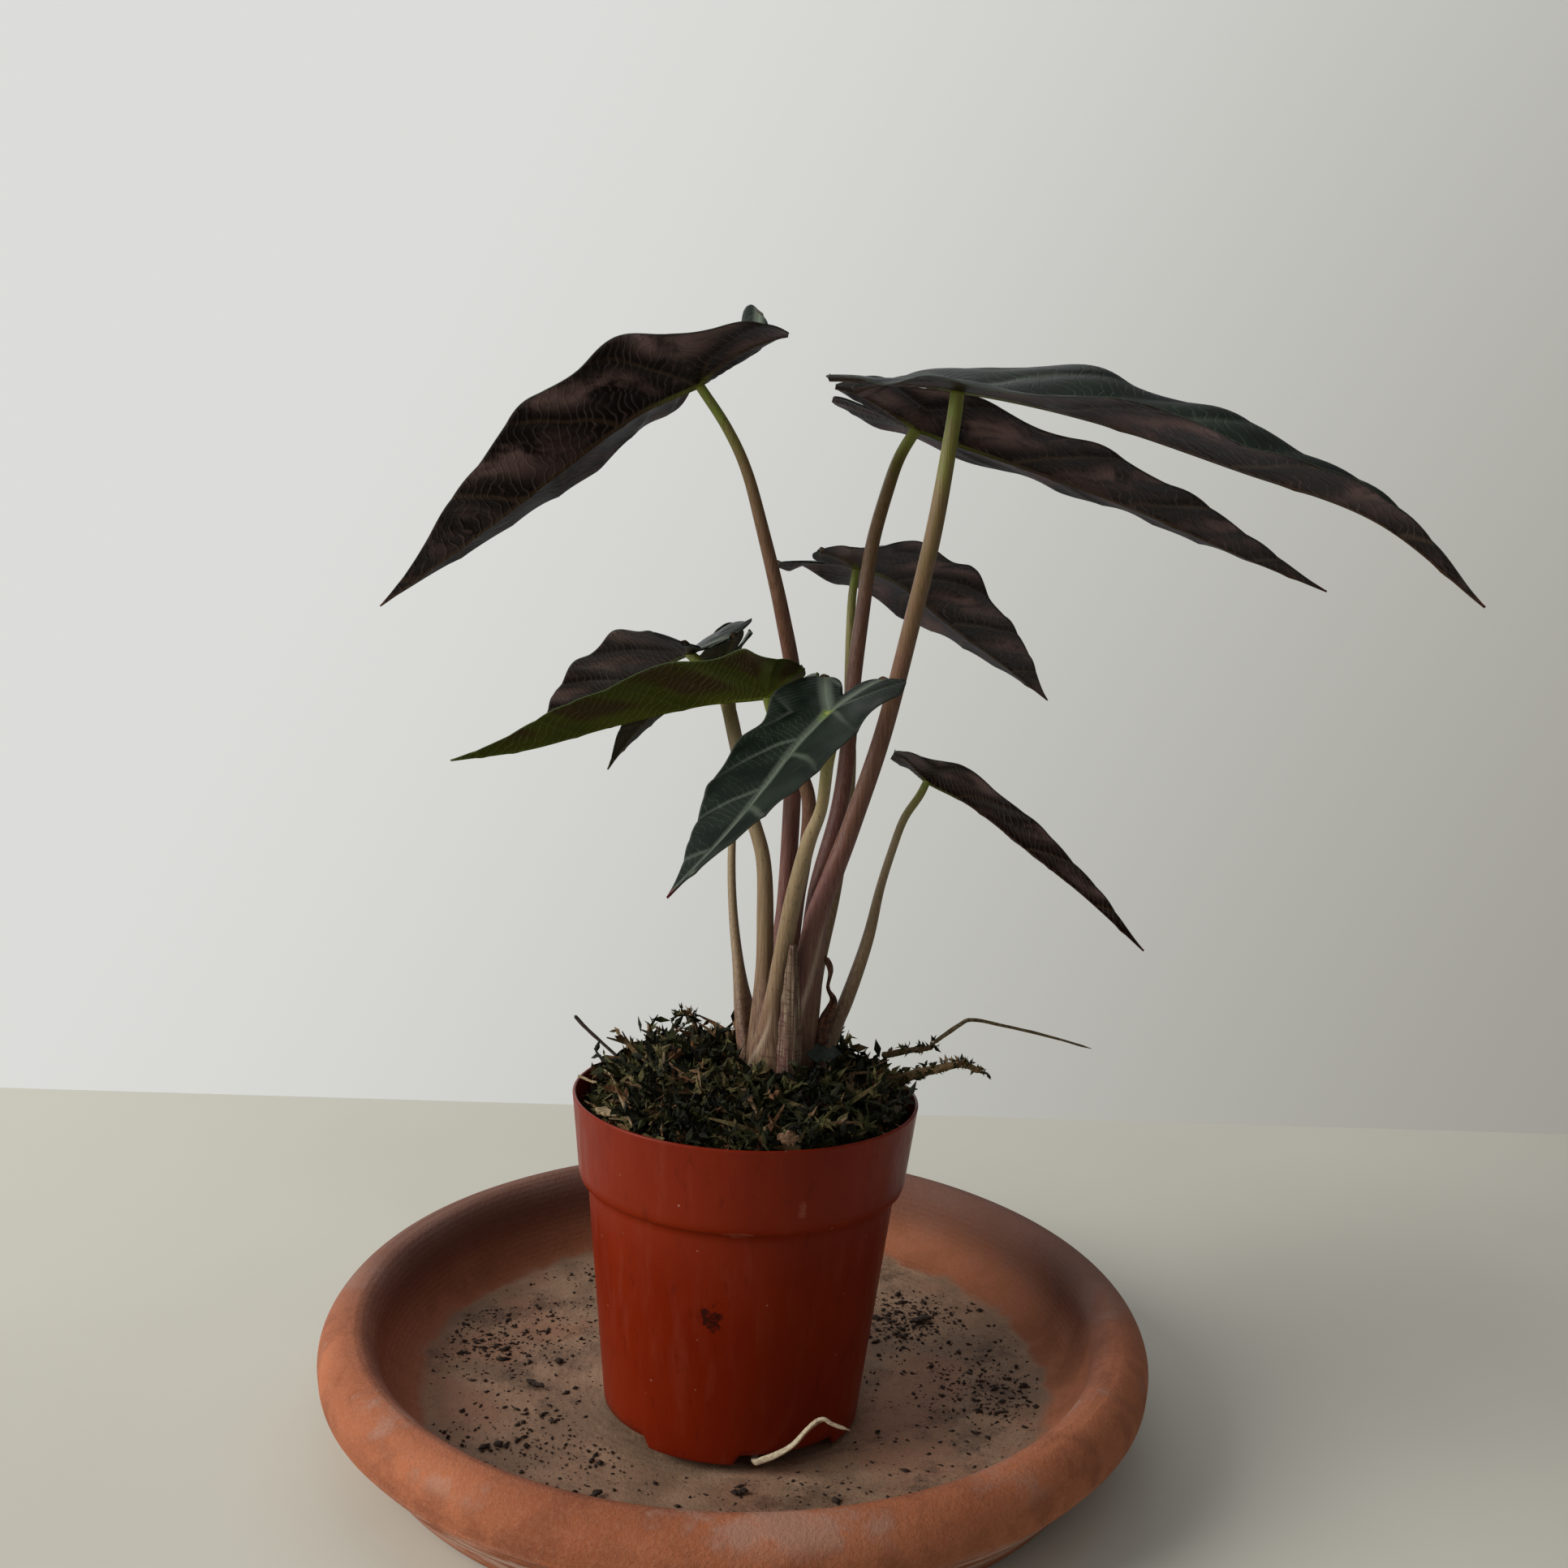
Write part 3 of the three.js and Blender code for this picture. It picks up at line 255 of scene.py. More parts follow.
# Table, and lamps as place, aim, size, power and colour, in metres and watts
TABLE = {"half": 1800.0, "front": -1500.0, "back": 225.0}
LAMPS = {
    "window": ((-1.9, -0.6, 1.1), (0, 0, 0.12), 1.4, 52.0, (1.0, 0.985, 0.95)),
    "wall_bounce": ((-0.3, 0.9, 0.6), (0, 0, 0.15), 1.2, 3.5, (0.97, 0.98, 1.0)),
}
# painted shade: the backdrop the camera sees darkens towards the right
SKY_SEEN = ((0.72, 0.725, 0.70), (0.31, 0.30, 0.262))  # behind the plant, from the left to the right
SKY_LIGHT = ((0.38, 0.385, 0.39), (0.14, 0.14, 0.136))
SKY_FADE = (-0.3, 0.75)
SKY_SLOPE = -0.5


# Curves and frames

def catmull(points, t):
    """Uniform Catmull-Rom through the points, t from 0 to their count less one."""
    p = np.asarray(points, float)
    if p.ndim == 1:
        p = p[:, None]
    last = len(p) - 1
    t = np.clip(np.asarray(t, float), 0, last)
    i = np.minimum(t.astype(int), last - 1)
    f = (t - i)[..., None]
    ends = np.vstack([2 * p[0] - p[1], p, 2 * p[-1] - p[-2]])
    a, b, c, d = ends[i], ends[i + 1], ends[i + 2], ends[i + 3]
    return 0.5 * (2 * b + (c - a) * f + (2 * a - 5 * b + 4 * c - d) * f**2 + (3 * b - a - 3 * c + d) * f**3)


def along(points, share):
    return catmull(points, np.asarray(share) * (len(points) - 1))


def unit(v):
    return v / np.maximum(np.linalg.norm(v, axis=-1, keepdims=True), 1e-9)


def smoothstep(low, high, x):
    t = np.clip((x - low) / (high - low), 0, 1)
    return t * t * (3 - 2 * t)


def carried(course):
    """Two directions across a course that turn no more than it does."""
    tangent = unit(np.gradient(course, axis=0))
    across = np.zeros_like(tangent)
    now = np.array([1.0, 0.0, 0.0])
    for k, t in enumerate(tangent):
        now = unit(now - t * now.dot(t))
        across[k] = now
    return across, np.cross(tangent, across)


def wobble(points, scale, seed):
    """Smooth noise from -1 to 1 at each point: a sum of a few waves in random directions."""
    draw = np.random.default_rng(seed)
    total = np.zeros(len(points))
    for k in range(7):
        direction = unit(draw.normal(size=3)) * scale * (0.6 + 0.35 * k)
        total += np.sin(points @ direction + draw.uniform(0, 2 * math.pi)) / (1 + 0.4 * k)
    return total / 3.2


# Meshes

def make_mesh(name, points, faces, shares=None):
    """A mesh from points in millimetres and arrays of faces. shares are numbers kept at each point."""
    faces = [np.asarray(f, np.int32) for f in faces if len(f)]
    sizes = np.concatenate([np.full(len(f), f.shape[1]) for f in faces])
    corners = np.concatenate([f.ravel() for f in faces])
    mesh = bpy.data.meshes.new(name)
    mesh.vertices.add(len(points))
    mesh.vertices.foreach_set("co", (np.asarray(points, float) * MM).ravel())
    mesh.loops.add(len(corners))
    mesh.loops.foreach_set("vertex_index", corners)
    mesh.polygons.add(len(sizes))
    mesh.polygons.foreach_set("loop_start", np.concatenate([[0], np.cumsum(sizes)[:-1]]))
    mesh.update(calc_edges=True)
    for key, values in (shares or {}).items():
        layer = mesh.attributes.new(key, "FLOAT", "POINT")
        layer.data.foreach_set("value", np.asarray(values, np.float32))
    mesh.polygons.foreach_set("use_smooth", np.ones(len(sizes), bool))
    return mesh


def add_object(name, data):
    made = bpy.data.objects.new(name, data)
    bpy.context.scene.collection.objects.link(made)
    return made


def make_piece(name, mesh, materials, node=None):
    """Puts a mesh in the scene as a piece that rides on the part."""
    piece = add_object(name, mesh)
    for material in materials:
        mesh.materials.append(material)
    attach(piece, "root")
    if node:
        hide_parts(node)
    return piece


def ring_quads(rings, sides):
    """The faces between rings of points, each ring closed on itself."""
    i = np.arange(rings - 1)[:, None] * sides
    j = np.arange(sides)[None]
    k = (j + 1) % sides
    return np.stack([i + j, i + k, i + sides + k, i + sides + j], -1).reshape(-1, 4)


def grid_quads(rows, columns):
    """The faces of an open grid of points."""
    a = (np.arange(rows - 1)[:, None] * columns + np.arange(columns - 1)[None]).ravel()
    return np.stack([a, a + columns, a + columns + 1, a + 1], -1)


def halved(quads):
    """Each face with four corners as two triangles."""
    return np.vstack([quads[:, [0, 1, 2]], quads[:, [0, 2, 3]]])


def round_turn(sides):
    return np.arange(sides) * 2 * math.pi / sides


def lathe(profile, segments):
    """Points and faces of a body of revolution. The profile starts and ends on the axis."""
    profile = np.asarray(profile, float)
    turn = round_turn(segments)
    ring = profile[1:-1]
    points = np.stack([ring[:, :1] * np.cos(turn), ring[:, :1] * np.sin(turn),
                       np.repeat(ring[:, 1:], segments, 1)], -1).reshape(-1, 3)
    points = np.vstack([points, [0, 0, profile[0, 1]], [0, 0, profile[-1, 1]]])
    here = np.arange(segments)
    beside = (here + 1) % segments
    top = (len(ring) - 1) * segments
    start = np.stack([np.full(segments, len(points) - 2), beside, here], -1)
    end = np.stack([np.full(segments, len(points) - 1), top + here, top + beside], -1)
    return points, [ring_quads(len(ring), segments), start, end]


def arc(centre, radius, start, stop, count):
    a = np.radians(np.linspace(start, stop, count))
    return [(centre[0] + radius * math.cos(t), centre[1] + radius * math.sin(t)) for t in a]


def tube(course, radii, sides, shape):
    """A closed piece along a course of points, with a radius at each. shape is out of round."""
    across, other = carried(course)
    turn = round_turn(sides)
    radii = np.asarray(radii, float)[:, None] * shape
    points = (course[:, None] + radii[..., None] * (np.cos(turn)[None, :, None] * across[:, None]
              + np.sin(turn)[None, :, None] * other[:, None])).reshape(-1, 3)
    return points, tube_faces(len(course), sides)


def tube_faces(rings, sides):
    top = (rings - 1) * sides
    return [ring_quads(rings, sides), np.arange(sides)[None, ::-1], top + np.arange(sides)[None]]


def leaning(points):
    """From the pot's own upright frame to the part's, in which the pot leans a little."""
    right, back = (math.tan(math.radians(a)) for a in POT["lean"])
    up = unit(np.array([right, back, 1.0]))
    axis = np.cross([0, 0, 1.0], up)
    turn = Matrix.Rotation(math.asin(np.linalg.norm(axis)), 3, axis)
    return np.asarray(points) @ np.array(turn).T + np.array(POT["place"])


# Material nodes

class Nodes:
    """Builds the nodes of one tree, in a few words each."""

    def __init__(self, tree):
        self.tree = tree

    def node(self, kind, **settings):
        made = self.tree.nodes.new("ShaderNode" + kind)
        for key, value in settings.items():
            setattr(made, key, value)
        return made

    def put(self, socket, value):
        if isinstance(value, bpy.types.NodeSocket):
            self.tree.links.new(value, socket)
        elif socket.type == "RGBA":
            socket.default_value = (*value, 1)
        else:
            socket.default_value = value

    def calc(self, operation, *values):
        made = self.node("Math", operation=operation)
        for socket, value in zip(made.inputs, values):
            self.put(socket, value)
        return made.outputs[0]

    def vector(self, operation, first, second):
        made = self.node("VectorMath", operation=operation)
        self.put(made.inputs[0], first)
        self.put(made.inputs[1], second)
        return made

    def share(self, name):
        return self.node("Attribute", attribute_name=name).outputs["Fac"]

    def place(self, scale=(1, 1, 1)):
        """Where the surface is, in millimetres times the scale."""
        made = self.node("Mapping")
        self.put(made.inputs["Vector"], self.node("TexCoord").outputs["Object"])
        made.inputs["Scale"].default_value = tuple(s / MM for s in scale)
        return made.outputs[0]

    def split(self, vector):
        made = self.node("SeparateXYZ")
        self.put(made.inputs[0], vector)
        return made.outputs

    def noise(self, place, scale, detail=4.0, rough=0.55, bent=0.0):
        made = self.node("TexNoise")
        self.put(made.inputs["Vector"], place)
        made.inputs["Scale"].default_value = scale
        made.inputs["Detail"].default_value = detail
        made.inputs["Roughness"].default_value = rough
        made.inputs["Distortion"].default_value = bent
        return made.outputs["Fac"]

    def cells(self, place, scale):
        made = self.node("TexVoronoi", feature="F1")
        self.put(made.inputs["Vector"], place)
        made.inputs["Scale"].default_value = scale
        return made.outputs["Distance"]

    def ease(self, value, low, high, start=0.0, end=1.0):
        """From start to end as the value goes from low to high."""
        made = self.node("MapRange", interpolation_type="SMOOTHSTEP")
        for key, number in (("Value", value), ("From Min", low), ("From Max", high),
                            ("To Min", start), ("To Max", end)):
            self.put(made.inputs[key], number)
        return made.outputs[0]

    def mix(self, share, first, second):
        made = self.node("Mix", data_type="RGBA")
        self.put(made.inputs[0], share)
        self.put(made.inputs[6], first)
        self.put(made.inputs[7], second)
        return made.outputs[2]

    def ramp(self, value, stops):
        made = self.node("ValToRGB")
        self.put(made.inputs[0], value)
        elements = made.color_ramp.elements
        while len(elements) < len(stops):
            elements.new(0.5)
        for element, (at, colour) in zip(elements, stops):
            element.position = at
            element.color = (*colour, 1)
        return made.outputs[0]

    def times(self, *values):
        total = values[0]
        for value in values[1:]:
            total = self.calc("MULTIPLY", total, value)
        return total

    def plus(self, *values):
        total = values[0]
        for value in values[1:]:
            total = self.calc("ADD", total, value)
        return total

    def from_whole(self, value):
        """How far a value is from the nearest whole number."""
        return self.calc("ABSOLUTE", self.plus(value, self.times(self.calc("ROUND", value), -1.0)))


class Paint(Nodes):
    """The nodes of one material."""

    def __init__(self, name, roughness, specular):
        self.material = bpy.data.materials.new(name)
        self.material.use_nodes = True
        super().__init__(self.material.node_tree)
        self.body = self.tree.nodes["Principled BSDF"]
        self.body.inputs["Roughness"].default_value = roughness
        self.body.inputs["Specular IOR Level"].default_value = specular
        self.ground = None

    def coat(self, share, colour):
        """Lays a colour over the ground, where the share is 1."""
        self.ground = self.mix(share, self.ground, colour)

    def colour(self, value):
        self.put(self.body.inputs["Base Color"], value)

    def rough(self, value):
        self.put(self.body.inputs["Roughness"], value)

    def bump(self, height, depth):
        """Relief whose height, from 0 to 1, stands for a depth in millimetres."""
        made = self.node("Bump")
        made.inputs["Strength"].default_value = 1
        made.inputs["Distance"].default_value = depth * MM
        self.put(made.inputs["Height"], height)
        self.put(self.body.inputs["Normal"], made.outputs[0])


# Veins of a blade, in the same words for the mesh and for its materials

def vein_rows(s, v, half):
    """Distance between side veins, counted in veins, at s along and v out."""
    run = np.where(s < 0, -LOBE_SHARE * s, s)
    return (run - VEIN_SLOPE * np.abs(v)**VEIN_BEND) / VEIN_SPACING + HALF_SHIFT * half


def rib_line(s):
    return LOBE_RIB[0] * np.clip(-s, 0, 1)**LOBE_RIB[1]


def vein_nodes(paint):
    """Masks on a blade: the midrib, the side veins, the fine veins, the rim and the panels between."""
    s, v, half = paint.share("along"), paint.share("out"), paint.share("half")
    behind = paint.calc("MAXIMUM", paint.times(s, -1.0), 0.0)
    ahead = paint.calc("MAXIMUM", s, 0.0)
    run = paint.plus(ahead, paint.times(behind, LOBE_SHARE))
    bend = paint.times(paint.calc("POWER", v, VEIN_BEND), VEIN_SLOPE)
    place = paint.place()
    stray = paint.times(paint.plus(paint.noise(place, 0.05, 2), -0.5), 0.25)
    count = paint.plus(paint.calc("DIVIDE", paint.plus(run, paint.times(bend, -1.0)), VEIN_SPACING),
                       paint.times(half, HALF_SHIFT), stray)
    line = paint.times(paint.calc("POWER", behind, LOBE_RIB[1]), LOBE_RIB[0])
    from_rib = paint.calc("ABSOLUTE", paint.plus(v, paint.times(line, -1.0)))
    fine = paint.plus(paint.times(run, FINE["along"]), paint.times(v, FINE["out"]),
                      paint.times(paint.noise(place, 0.09, 2), FINE["stray"]),
                      paint.times(paint.calc("ROUND", count), FINE["step"]))
    return {
        "rib": from_rib, "side": paint.from_whole(count), "fine": paint.from_whole(fine),
        "along": s, "out": v, "rim": paint.share("edge"), "place": place, "ahead": ahead, "behind": behind,
        "started": paint.ease(count, *FIRST_VEIN),
    }


def top_skin(name, base, light, silver, rim, tip):
    """Upper side: dark green with a soft silvery midrib and side veins, and a paler thin margin."""
    p = Paint(name, roughness=0.55, specular=0.06)
    at = vein_nodes(p)
    patches = p.noise(at["place"], 0.06, 4)
    p.ground = p.mix(p.ease(patches, 0.35, 0.7), base, light)
    width = p.plus(0.1, p.times(at["ahead"], -0.075))
    rib = p.ease(p.calc("DIVIDE", at["rib"], width), 0.25, 1.5, 1.0, 0.0)
    fading = p.ease(at["out"], 0.2, 0.9, 1.0, 0.2)
    side = p.times(p.ease(at["side"], 0.0, 0.075, 0.55, 0.0), fading, at["started"])
    p.coat(p.calc("MAXIMUM", p.times(rib, 0.8), side), silver)
    core = p.ease(p.calc("DIVIDE", at["rib"], width), 0.08, 0.3, 0.45, 0.0)
    p.coat(core, tuple(c * 1.5 for c in silver))
    fine = p.times(p.ease(at["fine"], 0.03, 0.1, 0.22, 0.0), p.ease(patches, 0.4, 0.6))
    p.coat(fine, silver)
    seat = p.times(p.ease(at["rib"], 0.02, 0.12, 1.0, 0.0),
                   p.ease(p.plus(at["ahead"], at["behind"]), 0.0, 0.09, 0.9, 0.0))
    p.coat(seat, LEAF_SEAT)
    p.coat(p.ease(at["rim"], 0.955, 0.995, 0.0, 0.85), rim)
    p.coat(p.ease(at["along"], 0.95, 1.0), tip)
    p.colour(p.ground)
    p.rough(p.ease(patches, 0.3, 0.75, 0.42, 0.58))
    grain = p.noise(at["place"], 2.6, 3)
    relief = p.plus(p.times(grain, 0.18), p.ease(at["side"], 0.0, 0.16, 0.0, 0.5),
                    p.ease(at["fine"], 0, 0.2, 0, 0.25))
    p.bump(relief, 0.28)
    return p.material


def under_skin(name, base, panel, veinlet, rib_green, rib_far, rim, patch=None):
    """Lower side: near black or olive, with a painted sheen on the bulging panels between the side veins,
    fine pale veinlets and a raised midrib.
    """
    p = Paint(name, roughness=0.42, specular=0.15)
    at = vein_nodes(p)
    patches = p.noise(p.place((1, 1, 1.6)), 0.075, 4, 0.55, 0.6)
    # painted sheen: the panel colour is laid on the bulging panels between the side veins, standing in for
    # their soft highlights
    bowed = p.times(p.ease(at["side"], 0.04, 0.4), p.ease(patches, 0.38, 0.66),
                    p.ease(at["out"], 0.05, 0.5, 0.35, 1.0))
    p.ground = p.mix(bowed, base, panel)
    if patch:
        blotch = p.times(p.ease(at["side"], 0.12, 0.3), p.ease(at["out"], 0.1, 0.35))
        p.coat(p.times(blotch, p.ease(patches, 0.35, 0.55, 0.4, 0.95)), patch)
    strength = p.ease(p.noise(at["place"], 0.1, 3), 0.4, 0.68, 0.05, 0.5)
    fine = p.times(p.ease(at["fine"], 0.03, 0.16, 1.0, 0.0), strength, p.ease(at["rim"], 0.7, 0.95, 1.0, 0.1))
    p.coat(fine, veinlet)
    fading = p.ease(at["out"], 0.45, 1.0, 1.0, 0.2)
    side = p.times(p.ease(at["side"], 0.012, 0.045, 0.9, 0.0), fading, at["started"])
    p.coat(side, tuple(c * 0.8 for c in rib_far))
    width = p.plus(0.06, p.times(at["ahead"], -0.042))
    rib = p.ease(p.calc("DIVIDE", at["rib"], width), 0.5, 1.0, 1.0, 0.0)
    far = p.ease(p.plus(at["ahead"], at["behind"]), 0.02, 0.26)
    p.coat(rib, p.mix(far, rib_green, rib_far))
    p.coat(p.ease(at["rim"], 0.965, 0.998, 0.0, 0.7), rim)
    p.colour(p.ground)
    p.rough(p.ease(patches, 0.3, 0.75, 0.38, 0.56))
    relief = p.plus(p.ease(at["fine"], 0.0, 0.2, 0.5, 0.0), p.times(p.noise(at["place"], 2.2, 3), 0.3),
                    p.times(patches, 3.0))
    p.bump(relief, 0.3)
    return p.material


SKINS = {
    # the second colour given to each lower side is its painted sheen
    "dark": (
        top_skin("leaf_top", (0.003, 0.006, 0.0035), (0.014, 0.021, 0.014), (0.1, 0.12, 0.09),
                 (0.045, 0.05, 0.04), (0.12, 0.02, 0.02)),
        under_skin("leaf_under_maroon", (0.0045, 0.001, 0.0008), (0.135, 0.08, 0.076), (0.11, 0.064, 0.058),
                   (0.09, 0.10, 0.015), (0.045, 0.024, 0.012), (0.03, 0.02, 0.018)),
    ),
    "olive": (
        top_skin("leaf_top_young", (0.012, 0.024, 0.008), (0.026, 0.042, 0.014), (0.09, 0.13, 0.05),
                 (0.06, 0.08, 0.03), (0.06, 0.05, 0.02)),
        under_skin("leaf_under_olive", (0.036, 0.046, 0.003), (0.085, 0.1, 0.006), (0.1, 0.085, 0.018),
                   (0.11, 0.14, 0.015), (0.06, 0.075, 0.006), (0.012, 0.02, 0.002), (0.03, 0.018, 0.005)),
    ),
    "green": (
        top_skin("leaf_top_small", (0.010, 0.017, 0.010), (0.028, 0.038, 0.028), (0.07, 0.09, 0.068),
                 (0.05, 0.06, 0.045), (0.10, 0.06, 0.03)),
        under_skin("leaf_under_small", (0.022, 0.024, 0.012), (0.045, 0.042, 0.026), (0.09, 0.075, 0.05),
                   (0.11, 0.13, 0.03), (0.06, 0.05, 0.02), (0.05, 0.05, 0.03)),
    ),
}


def blade_point(leaf, s, v, side):
    """The middle surface of a blade. side is -1 for its left half and 1 for its right."""
    spine = np.asarray(leaf["spine"], float)
    last = len(spine) - 1

    def station(x):
        return catmull(spine, np.where(x < 0, 1 + x * leaf.get("lobe", 1), 1 + x * (last - 1)))

    step = 1e-3
    tangent = unit(station(s + step) - station(s - step))
    level = unit(np.cross(tangent, [0, 0, 1.0]))
    rise = np.cross(level, tangent)
    half = 0 if side < 0 else 1
    share = np.clip(s, 0, 1)
    roll = np.radians(leaf["roll"][0] + (leaf["roll"][1] - leaf["roll"][0]) * share)[..., None]
    right = np.cos(roll) * level + np.sin(roll) * rise
    up = np.cos(roll) * rise - np.sin(roll) * level
    calm = np.clip((FLATTEN_FROM - s) / FLATTEN_OVER, 0, 1)
    fold = math.radians(leaf["fold"][half]) * (1 - leaf.get("flatten", (0, 0))[half] * calm)
    waves, ruffle, scallop = leaf["wave"]
    run = np.where(s < 0, LOBE_SHARE * s, s)
    turn = 2 * math.pi * (waves * run + leaf["phase"][half])
    width = leaf["width"]
    across = v * width * np.cos(fold) * (1 + scallop * v**2 * np.sin(turn + 0.8))
    ending = np.clip((-s - CURL_FROM) / (1 - CURL_FROM), 0, 1)
    height = (v * width * np.sin(fold) - leaf["cup"] * width * v**2 + ruffle * v**2 * np.sin(turn)
              + leaf["lift"][half] * np.clip(-s, 0, 1)**1.5 * v
              + leaf.get("curl", (0, 0))[half] * ending**1.4 * 2 * v)
    return station(s) + side * across[..., None] * right + height[..., None] * up


def blade_grid(leaf):
    """Both halves as one welded sheet: points, triangles, and s, v, half and edge at each point."""
    t = np.linspace(0, 1, BLADE_ROWS)
    outer = along(OUTER_EDGE, t)
    inner = along(INNER_EDGE, t)
    inner[:, 1] = np.maximum(inner[:, 1], 0)
    inner[t * (len(INNER_EDGE) - 1) >= SINUS_ROW, 1] = 0
    outer[-1] = inner[-1] = (1, 0)
    share = np.linspace(0, 1, BLADE_COLUMNS)
    grid = inner[:, None] * (1 - share[None, :, None]) + outer[:, None] * share[None, :, None]
    s, v = grid[..., 0], np.maximum(grid[..., 1], 0)
    points, faces, marks = [], [], []
    for half, side in enumerate((-1, 1)):
        here = blade_point(leaf, s, v, side).reshape(-1, 3)
        quads = grid_quads(BLADE_ROWS, BLADE_COLUMNS)
        if side > 0:
            quads = quads[:, ::-1]
        faces.append(quads + half * BLADE_ROWS * BLADE_COLUMNS)
        points.append(here)
        edge = np.broadcast_to(share, s.shape)
        marks.append(np.stack([s, v, np.full_like(s, half), edge], -1).reshape(-1, 4))
    points, faces, marks = np.vstack(points), np.vstack(faces), np.vstack(marks)
    _, first, back = np.unique(np.round(points, 3), axis=0, return_index=True, return_inverse=True)
    back = back.ravel()
    faces = back[faces]
    triangles = halved(faces)
    flat = ((triangles[:, 0] == triangles[:, 1]) | (triangles[:, 1] == triangles[:, 2])
            | (triangles[:, 0] == triangles[:, 2]))
    return points[first], triangles[~flat], marks[first]


def normals_of(points, triangles):
    normals = np.zeros_like(points)
    face = np.cross(points[triangles[:, 1]] - points[triangles[:, 0]],
                    points[triangles[:, 2]] - points[triangles[:, 0]])
    for corner in range(3):
        np.add.at(normals, triangles[:, corner], face)
    return unit(normals)


def open_edges(triangles):
    """The directed edges that only one triangle has."""
    edges = np.vstack([triangles[:, [0, 1]], triangles[:, [1, 2]], triangles[:, [2, 0]]])
    base = int(triangles.max()) + 1
    forward = edges[:, 0] * base + edges[:, 1]
    return edges[~np.isin(forward, edges[:, 1] * base + edges[:, 0])]


def skinned(points, triangles, above, below):
    """A sheet's two skins and its rim. above and below are how far each skin stands off."""
    normals = normals_of(points, triangles)
    count = len(points)
    both = np.vstack([points + normals * above[:, None], points - normals * below[:, None]])
    rim = open_edges(triangles)
    wall = np.stack([rim[:, 0], rim[:, 0] + count, rim[:, 1] + count, rim[:, 1]], -1)
    return both, [triangles, triangles[:, ::-1] + count, wall]


def make_blade(leaf):
    points, triangles, marks = blade_grid(leaf)
    s, v, half, edge = marks.T
    count = vein_rows(s, v, half)
    started = smoothstep(*FIRST_VEIN, count)
    rib_out = np.abs(v - rib_line(s)) * leaf["width"]
    rib = np.exp(-(rib_out / (1.1 - 0.6 * np.clip(s, 0, 1)))**2) * (1 - 0.7 * np.clip(s, 0, 1))
    off = np.abs(count - np.round(count))
    side = np.exp(-(off / 0.05)**2) * started * (1 - 0.7 * v)
    quilt = np.sin(math.pi * np.clip(off * 2, 0, 1)) * v * (1 - v**3) * leaf["width"] / BULGE["full_width"]
    normals = normals_of(points, triangles)
    uneven = BULGE["uneven"] * wobble(points, 0.13, 60 + len(leaf["name"])) * v * (1 - edge**4)
    points = points + normals * ((BULGE["panel"] * quilt + uneven) * smoothstep(-1, -0.7, s))[:, None]
    half_thick = BLADE_THICK / 2 * (1 - EDGE_THINS * edge**6)
    above, below = (half_thick + relief["rib"] * rib + relief["side"] * side for relief in (ABOVE, BELOW))
    both, faces = skinned(points, triangles, above, below)
    shares = {k: np.tile(a, 2) for k, a in (("along", s), ("out", v), ("half", half), ("edge", edge))}
    mesh = make_mesh("leaf_" + leaf["name"], both, faces, shares)
    lower = np.zeros(len(mesh.polygons), np.int32)
    lower[len(triangles):2 * len(triangles)] = 1
    mesh.polygons.foreach_set("material_index", lower)
    return make_piece("blade_" + leaf["name"], mesh, SKINS[leaf["skin"]],
                      "leaf_" + leaf["name"])


# Stalks

def stalk_skin(name, stops, blush, speck):
    """A stalk from its base (0) to the blade (1), with fine lines along it and dark specks."""
    p = Paint(name, roughness=0.42, specular=0.3)
    share = p.share("share")
    place = p.place()
    lines = p.noise(p.place((1, 1, 0.03)), 1.9, 4, 0.65)
    patches = p.noise(place, 0.09, 3)
    along_stalk = p.plus(share, p.times(p.plus(patches, -0.5), 0.16))
    p.ground = p.ramp(along_stalk, stops)
    p.coat(p.ease(lines, 0.46, 0.6, 0.0, 0.5), blush)
    p.coat(p.ease(lines, 0.44, 0.32, 0.0, 0.6), tuple(c * 0.35 for c in blush))
    dots = p.times(p.ease(p.cells(p.place((1, 1, 0.6)), 0.9), 0.1, 0.24, 1.0, 0.0),
                   p.ease(share, 0.9, 0.6, 0.0, 0.7), p.ease(p.noise(place, 0.3, 2), 0.45, 0.6))
    p.coat(dots, speck)
    sheath = p.share("sheath")
    tinge = p.noise(p.place((1, 1, 0.4)), 0.16, 3, 0.6)
    pale = p.mix(p.ease(tinge, 0.38, 0.62), WRAPPED["rose"], WRAPPED["tan"])
    pale = p.mix(p.ease(lines, 0.5, 0.62, 0.0, 0.6), pale, WRAPPED["line"])
    p.coat(p.times(sheath, 0.75), pale)
    nerve = p.noise(p.place((1, 1, 0.02)), 3.4, 2, 0.5)
    nerve = p.times(p.ease(nerve, 0.52, 0.6), p.ease(sheath, 0.0, 0.6), 0.75)
    p.coat(nerve, WRAPPED["nerve"])
    cross = p.ease(p.noise(p.place((0.35, 0.35, 2.6)), 0.55, 2), 0.6, 0.66)
    p.coat(p.times(cross, p.ease(sheath, 0.05, 0.5), 0.6), WRAPPED["cross"])
    p.coat(p.times(p.share("margin"), 0.7), WRAPPED["margin"])
    p.colour(p.ground)
    p.rough(p.ease(sheath, 0.0, 1.0, 0.4, 0.62))
    p.bump(p.plus(p.times(lines, 0.8), p.times(p.noise(place, 3.0, 2), 0.2)), 0.25)
    return p.material


